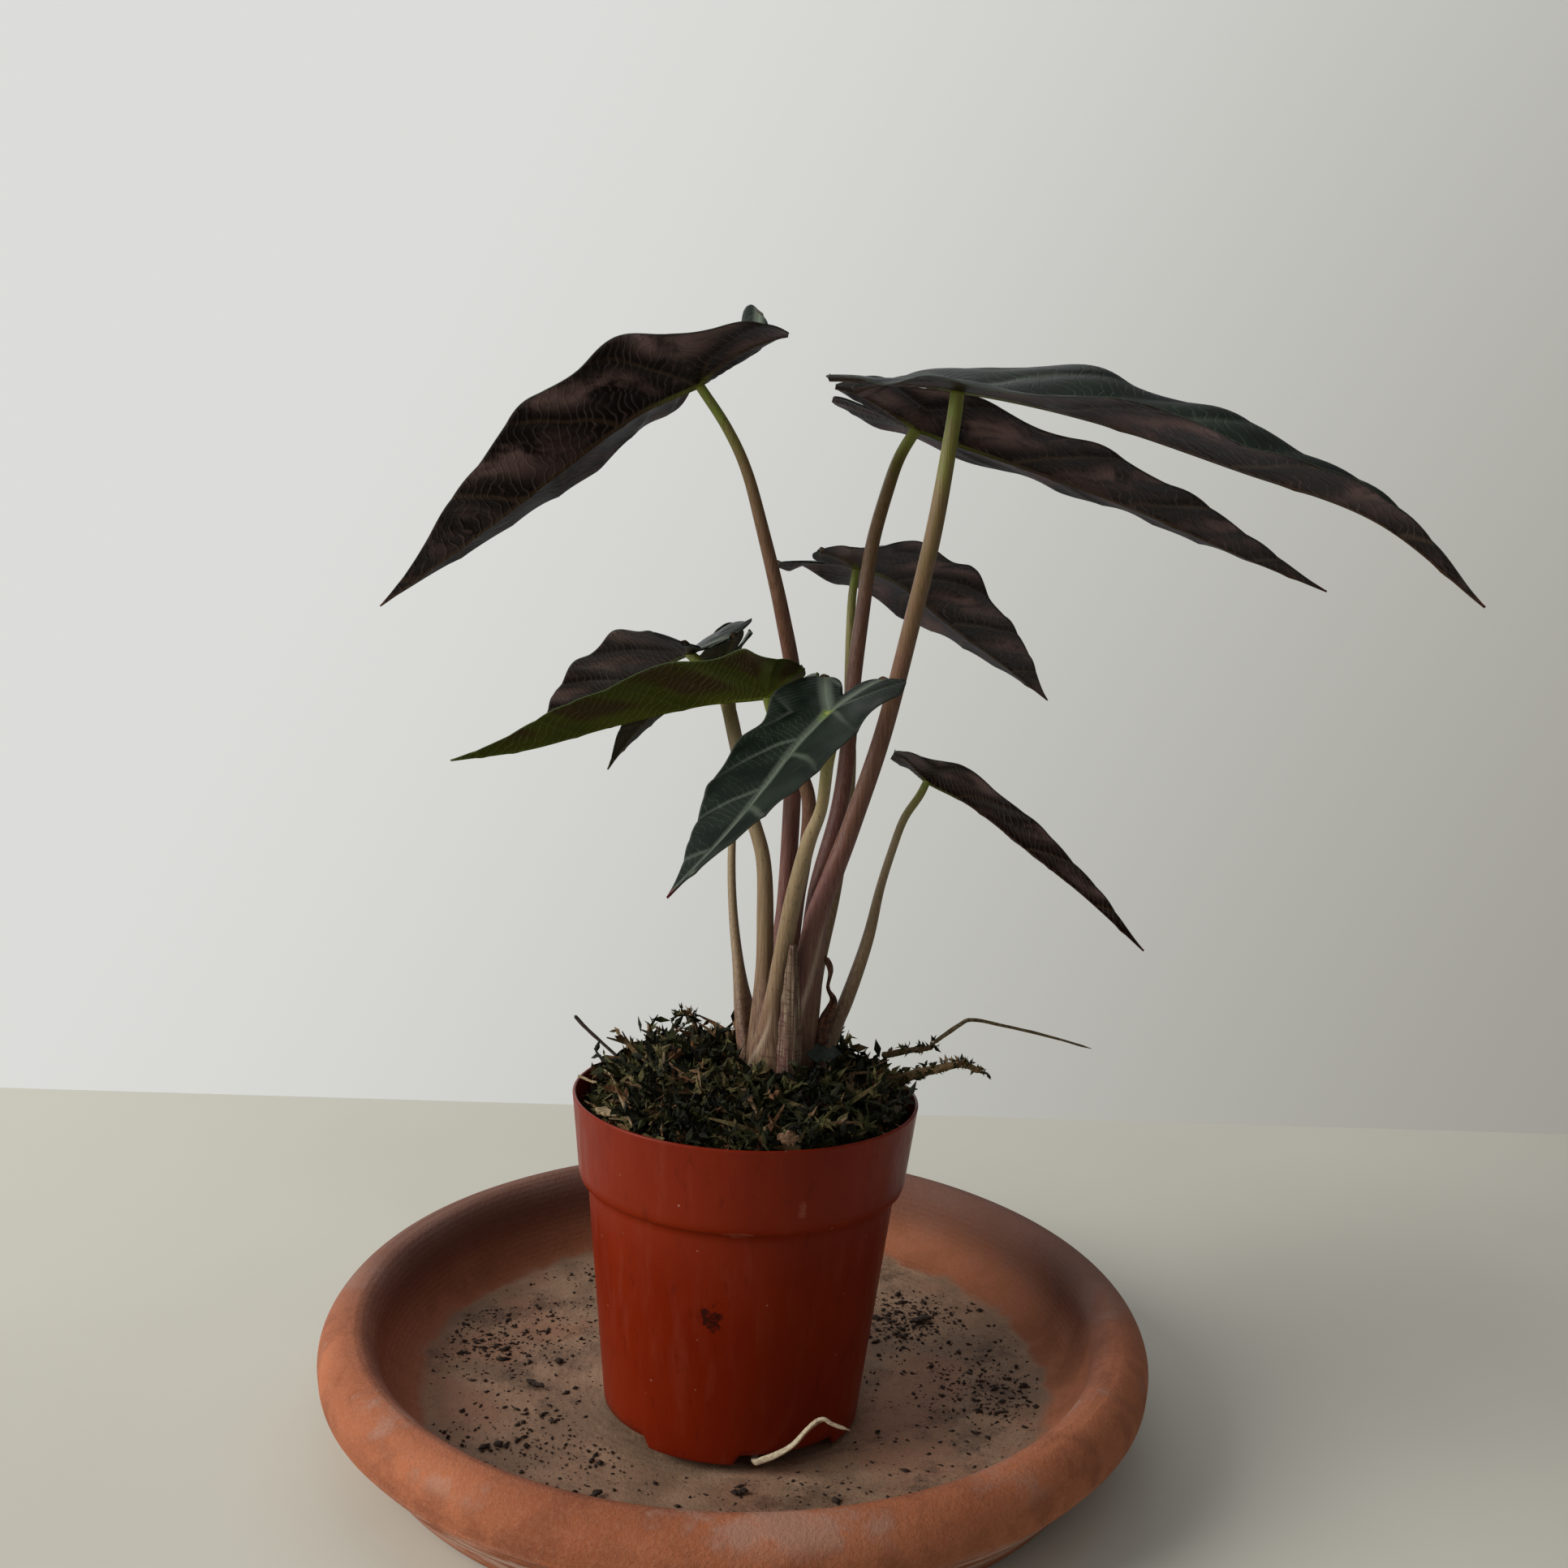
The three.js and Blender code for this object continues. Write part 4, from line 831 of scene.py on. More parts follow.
STEMS = {
    "red": stalk_skin(
        "stalk_red",
        [(0.0, (0.14, 0.052, 0.046)), (0.35, (0.135, 0.046, 0.038)), (0.62, (0.12, 0.052, 0.027)),
         (0.82, (0.15, 0.105, 0.035)), (0.95, LIME)],
        (0.20, 0.105, 0.07), (0.025, 0.011, 0.008)),
    "olive": stalk_skin(
        "stalk_olive",
        [(0.0, (0.16, 0.075, 0.055)), (0.3, (0.18, 0.11, 0.058)), (0.65, (0.28, 0.215, 0.115)),
         (0.88, (0.19, 0.19, 0.035)), (0.97, LIME)],
        (0.28, 0.2, 0.11), (0.045, 0.022, 0.012)),
}


def make_stalk(leaf, rings=110, sides=52):
    seat = blade_point(leaf, np.array([0.0]), np.array([0.0]), 1)[0]
    course = np.array([tuple(seat), *leaf["stalk"]])[::-1]
    radii = np.array(leaf["radii"])[::-1]
    share = np.linspace(0, 1, rings)
    line = along(course, share)
    radius = along(radii, share)[:, 0]
    top, wide, deep, power = leaf["sheath"]
    flare = smoothstep(top, STALK_FOOT + 4, line[:, 2])**power
    tangent = unit(np.gradient(line, axis=0))
    outward = unit(np.array([*(line[0, :2] - np.array(CLUMP)), 0.0]))
    out = unit(outward - tangent * (tangent @ outward)[:, None])
    across = np.cross(tangent, out)
    turn = round_turn(sides)
    c, s = np.cos(turn)[None, :, None], np.sin(turn)[None, :, None]
    half_wide = (radius * (1 + wide * flare))[:, None, None]
    half_deep = (radius * (1 + deep * flare))[:, None, None]
    wing = flare[:, None, None] * SHEATH["wing"] * half_wide * c**2
    past = turn[None] - (SHEATH["wrap"][0] + SHEATH["wrap"][1] * flare[:, None])
    wrap = smoothstep(0, 0.12, past) * np.clip(1 - past / SHEATH["fades"], 0, 1)
    groove = (1 - SHEATH["groove"] * smoothstep(0, 0.25, flare)[:, None] * wrap)[..., None]
    points = line[:, None] + (half_wide * c * across[:, None] + half_deep * s * out[:, None]) * groove
    points = points - wing * out[:, None]
    ripple = SHEATH["ripple"] * flare[:, None] * np.sin(turn * SHEATH["ripples"] + line[:, 2:3] * 0.06)
    points = (points + (ripple[..., None] * (c * across[:, None] + s * out[:, None]))).reshape(-1, 3)
    margin = np.exp(-((past + 0.06) / SHEATH["margin"])**2) * smoothstep(0.0, 0.2, flare)[:, None]
    shares = {"share": np.repeat(share, sides), "sheath": np.repeat(flare, sides), "margin": margin.ravel()}
    mesh = make_mesh("stalk_" + leaf["name"], points, tube_faces(rings, sides), shares)
    return make_piece("petiole_" + leaf["name"], mesh, [STEMS[leaf["stem"]]],
                      "stalk_" + leaf["name"])


# Saucer

def saucer_skin():
    """Fired clay: orange, with a pale bloom, painted shade on the inner top of the roll and on the back half,
    a dusty floor with bare patches and fine peat specks.
    """
    p = Paint("terracotta", roughness=0.85, specular=0.25)
    place = p.place()
    x, y, z = p.split(place)
    radius = p.calc("SQRT", p.plus(p.times(x, x), p.times(y, y)))
    broad = p.noise(place, 0.018, 4, 0.6)
    middle = p.noise(place, 0.07, 5, 0.6)
    grain = p.noise(place, 0.9, 4, 0.6)
    p.ground = p.mix(p.ease(broad, 0.35, 0.65), CLAY["dark"], CLAY["light"])
    p.coat(p.ease(middle, 0.45, 0.62, 0.0, 0.6), CLAY["fired"])
    # painted shade: the inner top of the rolled rim is darkened
    lip = p.times(p.ease(radius, 104.0, 98.0), p.ease(z, 21.0, 26.0), p.ease(middle, 0.3, 0.55, 0.45, 0.9))
    p.coat(p.times(lip, 0.75), CLAY["lip"])
    p.coat(p.ease(grain, 0.4, 0.75, 0.0, 0.25), CLAY["grain"])
    pores = p.noise(place, 2.2, 5, 0.7)
    p.coat(p.ease(pores, 0.52, 0.66, 0.0, 0.5), CLAY["pore"])
    outside = p.ease(radius, 96.0, 103.0)
    low_band = p.times(outside, p.ease(z, 21.0, 12.0, 0.0, 1.0), p.ease(z, 1.0, 6.0))
    streak = p.noise(p.place((0.3, 0.3, 2.2)), 0.16, 5, 0.65)
    bloom = p.times(low_band, p.ease(streak, 0.44, 0.58, 0.0, 0.85))
    crown = p.times(p.ease(z, 24.0, 29.5), p.ease(p.noise(place, 0.035, 5, 0.65), 0.5, 0.62, 0.0, 0.35))
    p.coat(p.calc("MAXIMUM", bloom, crown), CLAY["bloom"])
    # painted shade: the back half of the rim and inner wall is darkened
    behind = p.times(p.ease(y, -35.0, 35.0), p.ease(z, 12.0, 24.0, 0.25, 0.85))
    p.coat(behind, CLAY["back"])
    inner_wall = p.times(p.ease(radius, 99.0, 93.0), p.ease(radius, 84.0, 88.0),
                         p.ease(middle, 0.3, 0.7, 0.2, 0.8))
    p.coat(p.times(inner_wall, 0.7), CLAY["inside"])
    dust = p.mix(p.ease(middle, 0.35, 0.68), DUST["dark"], DUST["light"])
    bare = p.times(p.ease(p.noise(place, 0.03, 3), 0.5, 0.64), p.ease(grain, 0.3, 0.6, 0.5, 1.0))
    dust = p.mix(p.times(bare, 0.6), dust, DUST["bare"])
    soot = p.times(p.ease(p.noise(place, 0.045, 6, 0.7), 0.52, 0.66), p.ease(radius, 15.0, 70.0, 0.3, 1.0))
    dust = p.mix(p.times(soot, 0.55), dust, DUST["soot"])
    specks = p.times(p.ease(p.cells(place, 1.1), 0.14, 0.3, 1.0, 0.0), p.ease(soot, 0.0, 0.5, 0.4, 1.0))
    dust = p.mix(specks, dust, DUST["speck"])
    ragged = p.plus(radius, p.times(p.plus(middle, -0.5), 12.0))
    floor = p.times(p.ease(ragged, 87.5, 84.0), p.ease(z, 13.5, 11.0))
    p.coat(p.times(floor, p.ease(grain, 0.2, 0.5, 0.8, 1.0)), dust)
    p.colour(p.ground)
    p.rough(p.ease(middle, 0.3, 0.7, 0.72, 0.92))
    rings = p.calc("SINE", p.plus(p.times(z, 3.1), p.times(radius, 2.3), p.times(broad, 5.0)))
    p.bump(p.plus(p.times(grain, 0.6), p.times(p.noise(place, 3.5, 3), 0.25), p.times(rings, 0.05)), 0.5)
    return p.material


def roll_point(point, turn):
    """A point of the rolled rim at an angle: flatter inwards, with a fine line low on its outside."""
    middle = SAUCER["roll_at"][0]
    x, z = point
    if x <= middle:
        x = middle + ROLL_INSIDE * (x - middle)
    return x + sum(height * math.exp(-((turn - at) / spread)**2) for at, spread, height in RIDGES), z


def floor_height(radius):
    """The dished floor of the saucer."""
    edge, centre = SAUCER["floor"]
    return centre + (edge - centre) * (radius / SAUCER["wall_foot"])**2


def make_saucer():
    """Flat foot, flared side with a shallow groove, thick rolled rim and slightly dished floor."""
    foot, roll, at = SAUCER["foot"], SAUCER["roll"], SAUCER["roll_at"]
    side = along([(foot + out, up) for out, up in SAUCER_SIDE], np.linspace(0, 1, 26))
    rim = [roll_point(point, turn) for point, turn in zip(arc(at, roll, *ROLL_ARC), np.linspace(*ROLL_ARC))]
    wall = along([rim[-1], *SAUCER_WALL], np.linspace(0, 1, 30))[1:]
    floor = [(r, floor_height(r)) for r in np.linspace(81, 0, 28)]
    profile = [(0, 0), (50, 0), *side, *SAUCER_GROOVE, *rim, *wall, *floor]
    points, faces = lathe(profile, ROUND)
    radius = np.hypot(points[:, 0], points[:, 1])
    uneven = wobble(points, 0.035, 3) * 0.5 - 0.5
    dent = smoothstep(60, 96, radius) * 0.5 * uneven
    points[:, :2] *= (1 + dent / np.maximum(radius, 1))[:, None]
    below_top = points[:, 2] < at[1] + roll - 0.2
    lift = wobble(points, 0.05, 5) * 0.18 * smoothstep(1, 6, points[:, 2]) * below_top
    points[:, 2] = np.minimum(points[:, 2] + lift, at[1] + roll)
    mesh = make_mesh("saucer_fine", points, faces)
    return make_piece("saucer_clay", mesh, [saucer_skin()], "saucer")


# Pot

def ring_mark(p, place, centre, size, thick):
    """A dried water drop: a thin uneven ring round a centre."""
    across, high = size
    shift = p.vector("SUBTRACT", place, centre).outputs[0]
    scaled = p.vector("MULTIPLY", shift, (1 / across, 1 / across, 1 / high)).outputs[0]
    length = p.vector("DISTANCE", scaled, (0, 0, 0)).outputs["Value"]
    wavy = p.plus(length, p.times(p.plus(p.noise(place, 0.5, 2), -0.5), 0.45))
    return p.ease(p.calc("ABSOLUTE", p.plus(wavy, -1.0)), thick * 0.3, thick, 1.0, 0.0)


def pot_skin():
    """Thin brick-red plastic: satin, with lighter vertical streaks of painted sheen, dried drops, a peat
    smear, dust and faint scratches.
    """
    p = Paint("pot_plastic", roughness=0.4, specular=0.14)
    place = p.place()
    broad = p.noise(place, 0.025, 3)
    fine = p.noise(place, 0.5, 4, 0.6)
    p.ground = p.mix(p.ease(broad, 0.3, 0.7), PLASTIC["dark"], PLASTIC["light"])
    # painted sheen: lighter, greyer vertical streaks stand in for highlights on the plastic; the same streaks
    # set its roughness and relief
    sheen_streaks = p.noise(p.place((1, 1, 0.16)), 0.22, 5, 0.62)
    p.coat(p.ease(sheen_streaks, 0.5, 0.72, 0.0, 0.14), PLASTIC["sheen_streaks"])
    for drop in DROPS:
        p.coat(p.times(ring_mark(p, place, *drop), 0.26), PLASTIC["mark"])
    dust = p.times(p.ease(p.cells(place, 0.19), 0.03, 0.08, 1.0, 0.0), p.ease(fine, 0.42, 0.6, 0.0, 0.8))
    p.coat(p.times(dust, 0.7), PLASTIC["dust"])
    right, back, up = SMEAR["place"]
    middle = (right, back, up * SMEAR["squash"])
    away = p.vector("DISTANCE", p.place((1, 1, SMEAR["squash"])), middle).outputs["Value"]
    smear = p.plus(away, p.times(p.noise(place, 0.4, 5, 0.75), SMEAR["ragged"]))
    p.coat(p.ease(smear, *SMEAR["edge"], 0.85, 0.0), PLASTIC["smear"])
    drip = p.noise(p.place((1, 1, 0.35)), 0.3, 5, 0.7)
    p.coat(p.ease(drip, 0.56, 0.7, 0.0, 0.3), PLASTIC["drip"])
    p.colour(p.ground)
    p.rough(p.ease(sheen_streaks, 0.35, 0.75, 0.3, 0.52))
    hair = p.noise(p.place((0.25, 0.25, 3.0)), 1.2, 3)
    p.bump(p.plus(p.times(sheen_streaks, 0.7), p.times(hair, 0.2), p.times(fine, 0.2)), 0.12)
    return p.material


def pot_wall(z):
    step = POT["height"] - POT["collar"]
    flare = (z - step) / POT["collar"]
    if flare > 0:
        return POT["collar_foot"] + (POT["rim"] - POT["collar_foot"]) * flare
    return POT["base"] + (POT["body_top"] - POT["base"]) * z / step


def make_pot():
    """A tapered cup with a stepped collar, drain holes and a notched foot ring."""
    high, wall, floor = POT["height"], POT["wall"], POT["floor"]
    step = high - POT["collar"]
    body = [(pot_wall(z), z) for z in np.linspace(0.9, step - 0.5, 34)]
    shoulder = [(radius, step + up) for radius, up in POT_SHOULDER]
    collar = [(pot_wall(z) + 0.05, z) for z in np.linspace(step + 2.2, high - 1.1, 14)]
    lip = arc((POT["rim"] - 0.42, high - LIP), LIP, 0, 180, 9)
    inside = [(pot_wall(z) - wall, z) for z in np.linspace(high - 2, step + 2.5, 12)]
    inside += [(POT["body_top"] - wall + 0.4, step + 1.2), (POT["body_top"] - wall, step + 0.4)]
    inside += [(pot_wall(z) - wall, z) for z in np.linspace(step - 3, floor + 3, 16)]
    inside += [(pot_wall(floor) - wall - 1, floor + 1), (20, floor + 1), (0, floor + 1)]
    under = [(0, floor), (20, floor), (pot_wall(floor) - wall, floor)]
    base = pot_wall(0)
    foot = [(base - wall, 0.25), (base - 0.6, 0), (base - 0.15, 0.1), (base, 0.4)]
    points, faces = lathe([*under, *foot, *body, *shoulder, *collar, *lip, *inside], ROUND)
    turn = np.degrees(np.arctan2(points[:, 1], points[:, 0]))
    quarter = 360 / NOTCH["count"]
    away = np.abs((turn - NOTCH["first"] + quarter / 2) % quarter - quarter / 2)
    cut = smoothstep(NOTCH["span"] / 2 + 2.5, NOTCH["span"] / 2 - 0.5, away)
    low = points[:, 2] < NOTCH["height"]
    near_wall = np.hypot(points[:, 0], points[:, 1]) > 30
    raised = NOTCH["height"] + (points[:, 2] / NOTCH["height"]) * 0.15
    points[:, 2] = np.where(low & near_wall, points[:, 2] * (1 - cut) + raised * cut, points[:, 2])
    radius = np.hypot(points[:, 0], points[:, 1])
    bow = wobble(points, 0.03, 11) * 0.25 * smoothstep(5, 40, points[:, 2])
    points[:, :2] *= (1 + bow / np.maximum(radius, 1))[:, None]
    mesh = make_mesh("pot_fine", leaning(points), faces)
    pot = make_piece("pot_shell", mesh, [pot_skin()], "nursery_pot")
    drill_floor(pot)
    return pot


def drill_floor(pot):
    """Cuts the drain holes through the pot's floor."""
    cutters = []
    for k in range(NOTCH["count"]):
        a = math.radians(NOTCH["first"] + k * 360 / NOTCH["count"])
        out = POT["base"] * DRAIN["out"]
        profile = [(0, DRAIN["from"]), (DRAIN["radius"], DRAIN["from"]), (DRAIN["radius"], DRAIN["to"]),
                   (0, DRAIN["to"])]
        points, faces = lathe(profile, 32)
        points = points + [out * math.cos(a), out * math.sin(a), 0]
        cutter = add_object("drain_cutter", make_mesh("drain_cutter", leaning(points), faces))
        cutters.append(cutter)
        modifier = pot.modifiers.new("drain", "BOOLEAN")
        modifier.operation = "DIFFERENCE"
        modifier.object = cutter
    bpy.context.view_layer.update()
    ready = pot.evaluated_get(bpy.context.evaluated_depsgraph_get())
    done = bpy.data.meshes.new_from_object(ready)
    pot.modifiers.clear()
    old = pot.data
    pot.data = done
    bpy.data.meshes.remove(old)
    for cutter in cutters:
        bpy.data.objects.remove(cutter)


# Moss

def moss_skin():
    """Chopped moss: each sprig has a tone of its own, from black-green to straw and rust."""
    p = Paint("moss", roughness=0.85, specular=0.2)
    tone = p.share("tone")
    place = p.place()
    p.ground = p.ramp(tone, MOSS_STOPS)
    grain = p.noise(place, 1.6, 4)
    p.coat(p.ease(grain, 0.35, 0.7, 0.0, 0.5), MOSS_SHADE)
    p.colour(p.ground)
    p.rough(p.ease(grain, 0.3, 0.7, 0.75, 0.95))
    p.bump(grain, 0.3)
    return p.material


def mound_height(x, y):
    angle = np.arctan2(y, x)
    share = np.minimum(np.hypot(x, y) / MOUND["radius"], 1)
    dome = MOUND["crown"] - (MOUND["crown"] - MOUND["edge"]) * share**MOUND["fall"]
    lumps = np.sin(5 * angle + 9 * share) + np.sin(11 * angle - 7 * share + 2)
    height = dome + MOUND["lump"] * 0.5 * lumps * share * (1 - share**6)
    for tx, ty, rise, reach in TUFTS:
        height = height + rise * np.exp(-((x - tx)**2 + (y - ty)**2) / reach**2)
    return height


def sprigs(bases, headings, lengths, rises, tones, leaflets, draw, scale=1.0):
    """Many short bent stems with pointed leaflets, as one set of points, faces and tones."""
    n = len(bases)
    rings = 4
    t = np.linspace(0, 1, rings)
    flat = np.stack([np.cos(headings), np.sin(headings), np.zeros(n)], -1)
    up = np.array([0, 0, 1.0])
    bend = draw.uniform(-0.5, 0.9, n)
    sway = draw.uniform(-0.5, 0.5, n)
    side = np.cross(flat, up)
    line = (bases[:, None] + lengths[:, None, None] * (
        t[None, :, None] * (np.cos(rises)[:, None, None] * flat[:, None] + np.sin(rises)[:, None, None] * up)
        + (t**2)[None, :, None] * (-bend[:, None, None] * 0.4 * up + sway[:, None, None] * side[:, None])))
    direction = unit(line[:, -1] - line[:, 0])
    a = unit(np.cross(direction, [0.3, 0.2, 1.0]))
    b = np.cross(direction, a)
    turn = round_turn(3)[None, None, :, None]
    taper = np.array([1, .9, .7, .25])
    thick = (0.34 + 0.04 * lengths)[:, None, None, None] * taper[None, :, None, None]
    ring = np.cos(turn) * a[:, None, None] + np.sin(turn) * b[:, None, None]
    stems = (line[:, :, None] + thick * ring).reshape(-1, 3)
    faces = tube_faces(rings, 3)
    offset = np.arange(n)[:, None, None] * rings * 3
    stem_faces = [(f[None] + offset).reshape(-1, f.shape[1]) for f in faces]
    owner = np.repeat(np.arange(n), rings * 3)
    # leaflets: flattened pointed tetrahedra set along the stem
    m = leaflets
    at = draw.uniform(0.1, 1.0, (n, m))
    i = np.minimum((at * (rings - 1)).astype(int), rings - 2)
    f = (at * (rings - 1) - i)[..., None]
    rows = np.arange(n)[:, None]
    root = line[rows, i] * (1 - f) + line[rows, i + 1] * f
    spin = draw.uniform(0, 2 * math.pi, (n, m, 1))
    out = np.cos(spin) * a[:, None] + np.sin(spin) * b[:, None]
    point = unit(direction[:, None] * draw.uniform(0.3, 1.1, (n, m, 1)) + out)
    wide = unit(np.cross(point, draw.normal(size=(n, m, 3))))
    normal = np.cross(point, wide)
    size = draw.uniform(1.2, 4.4, (n, m, 1)) * scale
    corners = np.stack([
        root - point * 0.25 * size, root + point * 0.35 * size + wide * 0.24 * size,
        root + point * 0.35 * size - wide * 0.24 * size + normal * 0.1 * size,
        root + point * size + normal * 0.22 * size], 2)
    low = (root + point * 0.35 * size - normal * 0.1 * size)[:, :, None]
    corners = np.concatenate([corners, low], 2).reshape(-1, 3)
    cell = np.array([[0, 1, 4], [0, 4, 2], [0, 2, 1], [3, 4, 1], [3, 2, 4], [3, 1, 2]])
    base = len(stems) + np.arange(n * m)[:, None, None] * 5
    leaf_faces = (cell[None] + base).reshape(-1, 3)
    owners = np.concatenate([owner, np.repeat(np.arange(n), m * 5)])
    points = np.vstack([stems, corners])
    tone = tones[owners] + draw.uniform(-0.06, 0.06, len(owners))
    return points, [*stem_faces, leaf_faces], np.clip(tone, 0, 1), owners


def moss_tones(count, draw):
    kinds = np.array([0.14, 0.26, 0.42, 0.58, 0.7, 0.82, 0.92])
    weights = np.array([0.26, 0.24, 0.18, 0.12, 0.09, 0.06, 0.05])
    return draw.choice(kinds, count, p=weights) + draw.uniform(-0.05, 0.05, count)


def hollow(x, y):
    """How far the moss has sunk from the wall at the back and the left."""
    share = np.hypot(x, y) / MOUND["radius"]
    return 9.0 * smoothstep(0.74, 0.96, share) * smoothstep(-16, 8, y - 0.35 * x)


def mound_body():
    """The ground under the sprigs, as points and faces."""
    foot, edge = MOUND["foot"], MOUND["edge"]
    rings = [(MOUND["radius"] * share, edge) for share in np.linspace(1, 0.02, 34)]
    points, faces = lathe([(0, foot), (30, foot), *rings, (0, edge)], 110)
    above = points[:, 2] > foot + 0.1
    bumps = wobble(points, 0.7, 31) * 1.1 + wobble(points, 0.25, 32) * 0.9
    x, y = points[:, 0], points[:, 1]
    points[above, 2] = (mound_height(x, y) - 4.2 + bumps - hollow(x, y))[above]
    return points, faces


def make_moss():
    """The mound with its sprigs and dry scraps, as one piece."""
    draw = np.random.default_rng(21)
    points, faces = mound_body()
    spread = MOUND["radius"] * np.sqrt(draw.uniform(0, 1, SPRIG["count"]))
    angle = draw.uniform(0, 2 * math.pi, SPRIG["count"])
    x, y = spread * np.cos(angle), spread * np.sin(angle)
    clump = np.array(CLUMP) - np.array(POT["place"][:2]) + BARE["shift"]
    clear = np.hypot(x - clump[0], y - clump[1]) > BARE["radius"]
    x, y = x[clear], y[clear]
    n = len(x)
    heap = wobble(np.stack([x, y, np.zeros(n)], -1), 0.3, 41)
    z = mound_height(x, y) + 3.0 * heap - 1.4 + draw.uniform(-2.8, 1.8, n) - hollow(x, y)
    heading = draw.uniform(0, 2 * math.pi, n)
    length = draw.uniform(*SPRIG["length"], n)
    rise = np.radians(draw.uniform(*SPRIG["rise"], n))
    tall = draw.uniform(0, 1, n) > SPRIG["tall"]
    rise[tall] += SPRIG["up"]
    base = np.stack([x, y, z], -1)
    shade = moss_tones(n, draw) + 0.1 * wobble(base, 0.16, 47)
    green, own, tone, owners = sprigs(base, heading, length, rise, shade, SPRIG["leaflets"], draw)
    m = SCRAP["count"]
    pick = draw.integers(0, n, m)
    scrap, scrap_faces, scrap_tone, scrap_owner = sprigs(
        np.stack([x, y, z + SCRAP["above"]], -1)[pick], draw.uniform(0, 2 * math.pi, m),
        draw.uniform(*SCRAP["length"], m), np.radians(draw.uniform(*SCRAP["rise"], m)),
        draw.choice(SCRAP["tones"], m), SCRAP["leaflets"], draw, SCRAP["size"])
    own = [*own, *[f + len(green) for f in scrap_faces]]
    green = np.vstack([green, scrap])
    tone = np.concatenate([tone, scrap_tone])
    owners = np.concatenate([owners, n + scrap_owner])
    x, y, n = np.concatenate([x, x[pick]]), np.concatenate([y, y[pick]]), n + m
    # a sprig that would reach the pot's wall moves in
    limit = np.where(green[:, 2] < POT["height"] + 1.5, POT["rim"] - 2.2, POT["rim"] + 3)
    over = np.maximum(np.hypot(green[:, 0], green[:, 1]) - limit, 0)
    most = np.zeros(n)
    np.maximum.at(most, owners, over)
    inward = -np.stack([x, y, np.zeros(n)], -1) / np.maximum(np.hypot(x, y), 1)[:, None]
    green = green + (inward * most[:, None])[owners]
    green[:, 2] = np.maximum(green[:, 2], MOUND["foot"] + 0.3)
    start = len(points)
    tones = np.concatenate([np.full(start, 0.03), tone])
    mesh = make_mesh("moss_fine", leaning(np.vstack([points, green])), [*faces, *[f + start for f in own]],
                     {"tone": tones})
    mesh.polygons.foreach_set("use_smooth", np.zeros(len(mesh.polygons), bool))
    return make_piece("moss_tangle", mesh, [MOSS], "moss_mat")


# Loose pieces

def dry_skin(name, dark, light, streak=0.05, rough=0.75):
    """Dry plant stuff or bark, with fibres along it and darker patches."""
    p = Paint(name, roughness=rough, specular=0.3)
    place = p.place()
    fibre = p.noise(p.place((streak * 6, 1, 1)), 2.2, 5, 0.65)
    patches = p.noise(place, 0.35, 4, 0.6)
    p.ground = p.mix(p.ease(fibre, 0.35, 0.68), dark, light)
    p.coat(p.ease(patches, 0.52, 0.7, 0.0, 0.65), tuple(c * 0.4 for c in dark))
    p.colour(p.ground)
    p.rough(p.ease(patches, 0.3, 0.7, rough - 0.12, min(rough + 0.15, 1)))
    p.bump(p.plus(p.times(fibre, 0.7), p.times(patches, 0.3)), 0.3)
    return p.material


def papery_skin():
    """The dry scale: pale and thin, with fine lines along it and a net of dark veins."""
    p = Paint("papery", roughness=0.6, specular=0.25)
    lines = p.noise(p.place((1, 1, 0.04)), 2.2, 3, 0.6)
    tinge = p.noise(p.place((1, 1, 0.3)), 0.2, 3, 0.6)
    p.ground = p.mix(p.ease(tinge, 0.4, 0.6), PAPER["rose"], PAPER["tan"])
    p.coat(p.ease(lines, 0.5, 0.6, 0.0, 0.7), PAPER["line"])
    nerve = p.ease(p.noise(p.place((1, 1, 0.025)), 2.6, 2), 0.5, 0.57)
    cross = p.ease(p.noise(p.place((0.5, 0.5, 2.4)), 0.6, 2), 0.55, 0.6)
    p.coat(p.times(p.calc("MAXIMUM", nerve, cross), 0.65), PAPER["nerve"])
    p.colour(p.ground)
    p.rough(p.ease(lines, 0.3, 0.7, 0.5, 0.7))
    p.bump(p.plus(p.times(lines, 0.8), p.times(cross, 0.2)), 0.3)
    return p.material


def make_strand(name):
    skin, slot, ends, course = STRANDS[name]
    seed = sum(map(ord, name))
    draw = np.random.default_rng(seed)
    rings, sides = 70, 14
    share = np.linspace(0, 1, rings)
    line = along(np.array(course, float), share)
    jitter = np.stack([wobble(line + 40 * k, 0.35, seed + k) for k in range(3)], -1)
    line = line + jitter * 0.22 * np.sin(math.pi * share)[:, None]
    radius = (ends[0] + (ends[1] - ends[0]) * share) * (0.86 + 0.14 * wobble(line, 0.9, seed + 5))
    tips = smoothstep(0, 0.03, share) * smoothstep(1, 0.95, share)
    turn = round_turn(sides)
    shape = 1 + 0.16 * np.sin(3 * turn[None] + share[:, None] * 9 + seed)
    if skin == "dead":
        shape = shape * (1 + 0.75 * np.cos(2 * turn[None] + 7 * share[:, None] - 1.2))
    points, faces = tube(line, radius * (0.25 + 0.75 * tips), sides, shape)
    tones = np.full(len(points), 0.84)
    if name in MOSSY:
        n = MOSSY[name]
        at = draw.uniform(0.12, 1, n)
        base = along(np.array(course, float), at)
        more, own, tone, _ = sprigs(base, draw.uniform(0, 2 * math.pi, n), draw.uniform(1.2, 2.8, n),
                                    draw.uniform(-0.6, 1.0, n), moss_tones(n, draw) + 0.16, 6, draw, 0.55)
        faces = [*faces, *[f + len(points) for f in own]]
        points = np.vstack([points, more])
        tones = np.concatenate([tones, tone])
    mesh = make_mesh(name + "_fine", points, faces, {"tone": tones})
    material = MOSS if name in MOSSY else DRY[skin]
    return make_piece(name + "_piece", mesh, [material], name)


